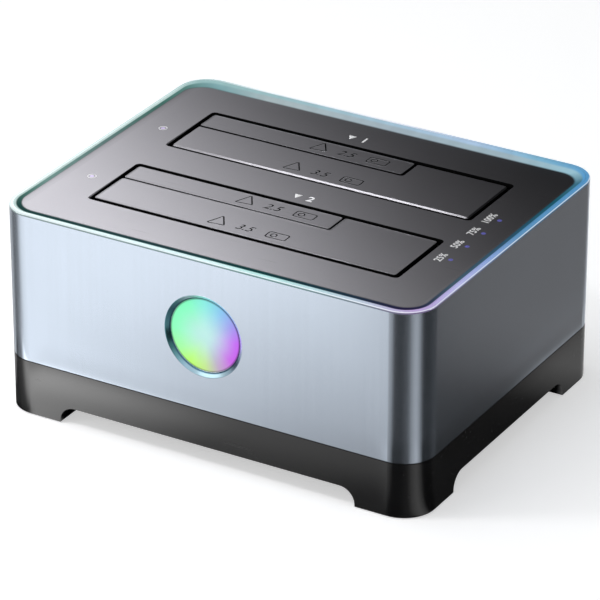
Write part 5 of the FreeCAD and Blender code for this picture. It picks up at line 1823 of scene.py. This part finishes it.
@dataclass
class Studio:
    """The floor, the reflection cards, the lamps, the world and the camera.

    Args:
        floor_size, floor_colour: the length of the floor's sides, and its colour.
        floor_lift: how much light the floor adds where the camera sees it.
        ambient, ambient_tint: how bright the world is, and its colour.
        camera_at, camera_aim: where the camera stands, and the point that it looks at.
        lens, camera_far: its focal length in millimetres, and the furthest that it sees.
        corner_bend: the radius of the dock's upright corners.
        corner_soft: where a corner gives way to a face, from the dock's edge, over that radius.
        table_size, table_level: half the length of the table card's sides, and its height.
        table_soft: the width of the soft edge of its black middle.
        table_reach: the distance from the front right corner at the end of the four ramps below.
        shell_front, base_front: the table card's brightness as the front of each mirrors it.
        shell_side, base_side: the same for the right side.
        right_corner: the same for the front right corner, by the turn about it, from 0 at -X round
            through the front to 1.
        left_corner: the same for the front left corner.
        left_turn: how far that turn is taken back, times the distance.
        left_edge, left_base: the height of the left corner's base, over the height of the shell's
            lower edge, and how much brighter the card is for it.
        base_edge: between which heights the base gives way to the shell, over the same.
        low_down, lowest: between which heights the base's front brightens, over the same, and how
            bright it is below them.
        side_tint: the tint of what the shell's right side mirrors.
        plain_table: the card's colour behind the dock.
        sky_lift: how far the sky card hangs above the cover.
        sky_size, sky_front: its lowest and highest X and its highest Y, and where its front is.
        edge_low, edge_high: the corners of the bright strip that the bevels mirror.
        edge_level, edge_soft: how bright the strip is, and the width of its soft edge.
        sky_way: the way from the front left corner to the back right, along X and Y.
        sky_start: where along that way the card starts to be lit, and where it is fully lit.
        sky_level, sky_tint: how bright the left front of the cover sees it, and its colour.
        sky_fall: how fast that falls, per metre and per metre squared.
        sky_back, sky_right: the distances from the cover's back and right side between which the
            card dims, and how far it dims.
        flag, flag_at: the lowest and highest X, the height and the Y of the dark flag.
        lamps: the lamps.
    """

    floor_size: float = 6.0
    floor_colour: Colour = (0.82, 0.82, 0.83)
    floor_lift: float = 0.52
    ambient: float = 0.25
    ambient_tint: Colour = (0.95, 0.98, 1.0)
    camera_at: Point = (0.55765, -0.95287, 0.588)
    camera_aim: Point = (-0.0061, 0.0095, 0.0235)
    lens: float = 249.17
    camera_far: float = 20.0
    corner_bend: float = 10 * MM
    corner_soft: Pair = (0.8, 1.2)
    table_size: float = 0.6
    table_level: float = 0.1 * MM
    table_reach: float = 0.25
    shell_front: Stops = grey_stops(
        (0.0, 0.35), (0.2, 0.5), (0.37, 0.78), (0.52, 1.0), (0.62, 1.2), (0.75, 1.33))
    base_front: Stops = grey_stops(
        (0.08, 0.2), (0.16, 0.5), (0.28, 0.7), (0.33, 1.2), (0.52, 3.9), (0.7, 4.7))
    shell_side: Stops = grey_stops(
        (0.18, 0.018), (0.28, 0.042), (0.34, 0.077), (0.38, 0.118), (0.5, 0.17))
    base_side: Stops = grey_stops(
        (0.23, 0.03), (0.295, 0.05), (0.315, 0.11), (0.355, 0.26), (0.4, 0.43))
    right_corner: Stops = grey_stops(
        (0.165, 0.92), (0.185, 0.8), (0.205, 0.4), (0.232, 0.01), (0.30, 0.01), (0.36, 0.09),
        (0.39, 0.38), (0.43, 0.58), (0.46, 0.3), (0.485, 0.01), (0.55, 0.01), (0.62, 0.055),
        (0.67, 0.075), (1.0, 0.2))
    left_corner: Stops = grey_stops(
        (0.0, 0.07), (0.03, 0.09), (0.05, 0.25), (0.075, 0.8), (0.1, 1.15), (0.13, 1.3),
        (0.5, 1.3), (0.7, 0.3), (0.8, 0.3), (0.88, 0.5), (0.93, 0.6), (0.965, 0.25), (1.0, 0.07))
    left_turn: float = 2.2 * MM
    left_edge: float = 0.9
    left_base: float = 2.4
    base_edge: Pair = (0.8, 0.93)
    low_down: Pair = (0.3, 0.85)
    lowest: float = 0.6
    side_tint: Colour = (1.06, 0.98, 0.93)
    plain_table: Colour = (0.8, 0.8, 0.8)
    table_soft: float = 3 * MM
    sky_lift: float = 60 * MM
    sky_size: tuple[float, float, float] = (-0.2, 0.3, 0.3)
    sky_front: float = -95 * MM
    edge_low: Pair = (-62 * MM, -33 * MM)
    edge_high: Pair = (16 * MM, -21 * MM)
    edge_level: float = 40.0
    edge_soft: float = 2 * MM
    sky_way: Pair = (0.6, 0.8)
    sky_start: Pair = (-70 * MM, -30 * MM)
    sky_level: float = 7.0
    sky_tint: Colour = (0.945, 0.93, 1.0)
    sky_fall: Pair = (7.0, 125.0)
    sky_back: tuple[float, float, float] = (24 * MM, 10 * MM, 0.76)
    sky_right: tuple[float, float, float] = (39 * MM, 19 * MM, 0.82)
    flag: tuple[float, float, float] = (-0.5, 0.7, 0.3)
    flag_at: float = 0.4
    lamps: tuple[SoftBox, ...] = (
        SoftBox("key_softbox", (-0.218, -0.223, 0.46), (0.076, 0.05), 0.5),
        SoftBox("top_softbox", (-0.3, -0.1, 0.9), (0.8, 0.8), 3.0),
        SoftBox("front_fill", (-0.7, -0.8, 0.5), (0.7, 0.7), 2.0),
    )

    def build(self) -> None:
        """Sets up the whole studio."""
        self.floor()
        self.table_card()
        self.sky_card()
        self.back_flag()
        self.world()
        for lamp in self.lamps:
            lamp.build()
        self.camera()
        bpy.context.scene.view_settings.view_transform = "Standard"

    def floor(self) -> None:
        """Lays the pale floor."""
        half = self.floor_size / 2
        _, tree = sheet("floor", lifted(rectangle(-half, -half, half, half), 0.0))
        paper = tree.node("BsdfDiffuse", {"Color": self.floor_colour}).outputs[0]
        lift = tree.product(tree.node("LightPath").outputs["Is Camera Ray"], self.floor_lift)
        glow = tree.node("Emission", {"Strength": lift}).outputs[0]
        both = tree.node("AddShader", {0: paper, 1: glow}).outputs[0]
        tree.node("OutputMaterial", {"Surface": both})

    def slopes(self) -> Pair:
        """How far the camera's view runs along X and towards -Y while it falls by one."""
        look = Vector(self.camera_aim) - Vector(self.camera_at)
        return look.x / look.z, -look.y / look.z

    def table_card(self) -> None:
        """Lays the card round the dock: white at the front left, dark at the right.

        A face with a slope of the view of k mirrors, from its point at height z, the floor k z in
        front of it. The front and the side see the card by its distance from the front right
        corner, the base and the shell each in their own way, and the rounded corners see it by the
        turn about their own axes. Behind the dock the card is plain, and under it black.
        """
        size = self.table_size
        tree = card("table_card", lifted(rectangle(-size, -size, size, size), self.table_level))
        low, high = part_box("aluminium_shell")
        bend, (near, far) = self.corner_bend, self.corner_soft
        slope_x, slope_y = self.slopes()
        across, along, _ = tree.parts(tree.place())
        front_rise = tree.math("DIVIDE", tree.math("SUBTRACT", low.y, along), slope_y)
        front_x = tree.math("ADD", across, tree.product(front_rise, slope_x))
        side_rise = tree.math("DIVIDE", tree.math("SUBTRACT", across, high.x), slope_x)
        side_y = tree.math("SUBTRACT", along, tree.product(side_rise, slope_y))
        right, distance = self.corner(tree, (high.x - bend, low.y + bend), self.right_corner)
        left, _ = self.corner(tree, (low.x + bend, low.y + bend), self.left_corner, self.left_turn)
        share = tree.math("DIVIDE", distance, self.table_reach)

        bottom, top = self.low_down
        low_down = tree.spread(front_rise, bottom * low.z, top * low.z, self.lowest, 1.0)
        front = tree.mix(self.at_base(tree, front_rise, low.z), tree.ramp(share, self.shell_front),
                         tree.scaled(tree.ramp(share, self.base_front), low_down))
        left = tree.mix(self.at_base(tree, front_rise, self.left_edge * low.z), left,
                        tree.scaled(left, self.left_base))
        tinted = tree.mix(1.0, tree.ramp(share, self.shell_side), self.side_tint, "MULTIPLY")
        side = tree.mix(self.at_base(tree, side_rise, low.z), tinted,
                        tree.ramp(share, self.base_side))

        light = tree.mix(tree.spread(front_x, low.x + near * bend, low.x + far * bend), left, front)
        past = tree.spread(front_x, high.x - far * bend, high.x - near * bend)
        light = tree.mix(past, light, right)
        beside = tree.math("GREATER_THAN", side_rise, 0.0)
        past = tree.spread(side_y, low.y + near * bend, low.y + far * bend)
        light = tree.mix(tree.product(beside, past), light, side)
        past_back = tree.spread(along, high.y, high.y + bend)
        plain = tree.product(past_back, tree.math("LESS_THAN", across, high.x))
        light = tree.mix(plain, light, self.plain_table)
        tree.emit(tree.mix(tree.within((across, along), low, high, self.table_soft), light, BLACK))

    def at_base(self, tree: Tree, rise: Output, edge: float) -> Output:
        """A mask that is one where the mirroring point is on the base.

        Args:
            tree: the card's tree.
            rise: the height of the mirroring point.
            edge: the height of the shell's lower edge.

        Returns:
            The mask.
        """
        least, most = self.base_edge
        below = tree.spread(rise, least * edge, most * edge, 1.0, 0.0)
        return tree.product(below, tree.math("GREATER_THAN", rise, 0.0))

    def corner(self, tree: Tree, axis: Pair, levels: Stops,
               back: float = 0.0) -> tuple[Output, Output]:
        """What a rounded corner mirrors, by the turn about its axis.

        The turn is taken back by a length over the distance, because the corner is not a point.

        Args:
            tree: the card's tree.
            axis: the X and the Y of the corner's axis.
            levels: the card's brightness by the turn.
            back: the length.

        Returns:
            The light, and the distance from the axis.
        """
        turn, distance = around(tree, tree.place(), (*axis, 0.0))
        turn = tree.math("SUBTRACT", turn, tree.math("DIVIDE", back, distance))
        return tree.ramp(turn, levels), distance

    def sky_card(self) -> None:
        """Hangs the card above the dock that the cover mirrors.

        With u the way along the cover from its front left corner to its back right, the card's
        brightness falls as the exponential of a u + b u u. In front of the corner it is dark.
        """
        low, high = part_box("top_cover")
        slope_x, slope_y = self.slopes()
        shift_x, shift_y = -slope_x * self.sky_lift, slope_y * self.sky_lift
        left, right, back = self.sky_size
        level = high.z + self.sky_lift
        tree = card("sky_card", lifted(rectangle(left, self.sky_front, right, back), level))
        across, along, _ = tree.parts(tree.place())
        run, rise = self.sky_way
        way = tree.math("ADD", tree.product(tree.math("SUBTRACT", across, low.x + shift_x), run),
                        tree.product(tree.math("SUBTRACT", along, low.y + shift_y), rise))
        ahead = tree.math("MAXIMUM", way, 0.0)
        slow, fast = self.sky_fall
        power = tree.product(ahead, tree.math("ADD", tree.product(ahead, -fast), -slow))
        lit = tree.spread(way, *self.sky_start, 0.0, self.sky_level)
        fades = []
        for value, edge, (first, last, end) in ((along, high.y + shift_y, self.sky_back),
                                                (across, high.x + shift_x, self.sky_right)):
            fades.append(tree.spread(value, edge - first, edge - last, 1.0, end))
        bright = tree.product(tree.math("EXPONENT", power), lit, *fades)
        strip = tree.within((across, along), self.edge_low, self.edge_high, self.edge_soft)
        bright = tree.math("ADD", bright, tree.product(strip, self.edge_level))
        tree.emit(self.sky_tint, bright)

    def back_flag(self) -> None:
        """Stands the dark flag behind the dock."""
        left, right, height = self.flag
        upright = np.insert(rectangle(left, 0.0, right, height), 1, self.flag_at, axis=1)
        card("back_flag", upright).emit(BLACK)

    def world(self) -> None:
        """Makes the world: even light for the dock, white behind it."""
        world = bpy.data.worlds.new("studio")
        bpy.context.scene.world = world
        tree = empty_tree(world)
        path = tree.node("LightPath").outputs
        direct = tree.math("MAXIMUM", path["Is Camera Ray"], path["Is Glossy Ray"])
        direct = tree.math("MAXIMUM", direct, path["Is Transmission Ray"])
        values = {"Color": self.ambient_tint, "Strength": self.ambient}
        even = tree.node("Background", values).outputs[0]
        white = tree.node("Background", {"Color": WHITE, "Strength": 1.0}).outputs[0]
        both = tree.node("MixShader", {0: direct, 1: even, 2: white}).outputs[0]
        tree.node("OutputWorld", {"Surface": both})

    def camera(self) -> None:
        """Hangs the camera: in front of the right corner, looking down at the dock."""
        camera = bpy.data.cameras.new("camera")
        camera.lens = self.lens
        camera.clip_end = self.camera_far
        bpy.context.scene.camera = hang("camera", camera, self.camera_at, self.camera_aim)


def main() -> None:
    """Builds and dresses the dock, then lights it and points the camera at it."""
    logging.basicConfig(level=logging.INFO, format="%(message)s")
    own = {"bay_light_pipes": BAY_LIGHT, "progress_light_pipes": PROGRESS_LIGHT}
    CarriedParts(finishes(), own).dress()
    for assembly in (Flaps(), GapPaintedShade(), CoverPrint(), CoverBorder(), LensBezel(), Studio()):
        assembly.build()


if __name__ == "__main__":
    main()
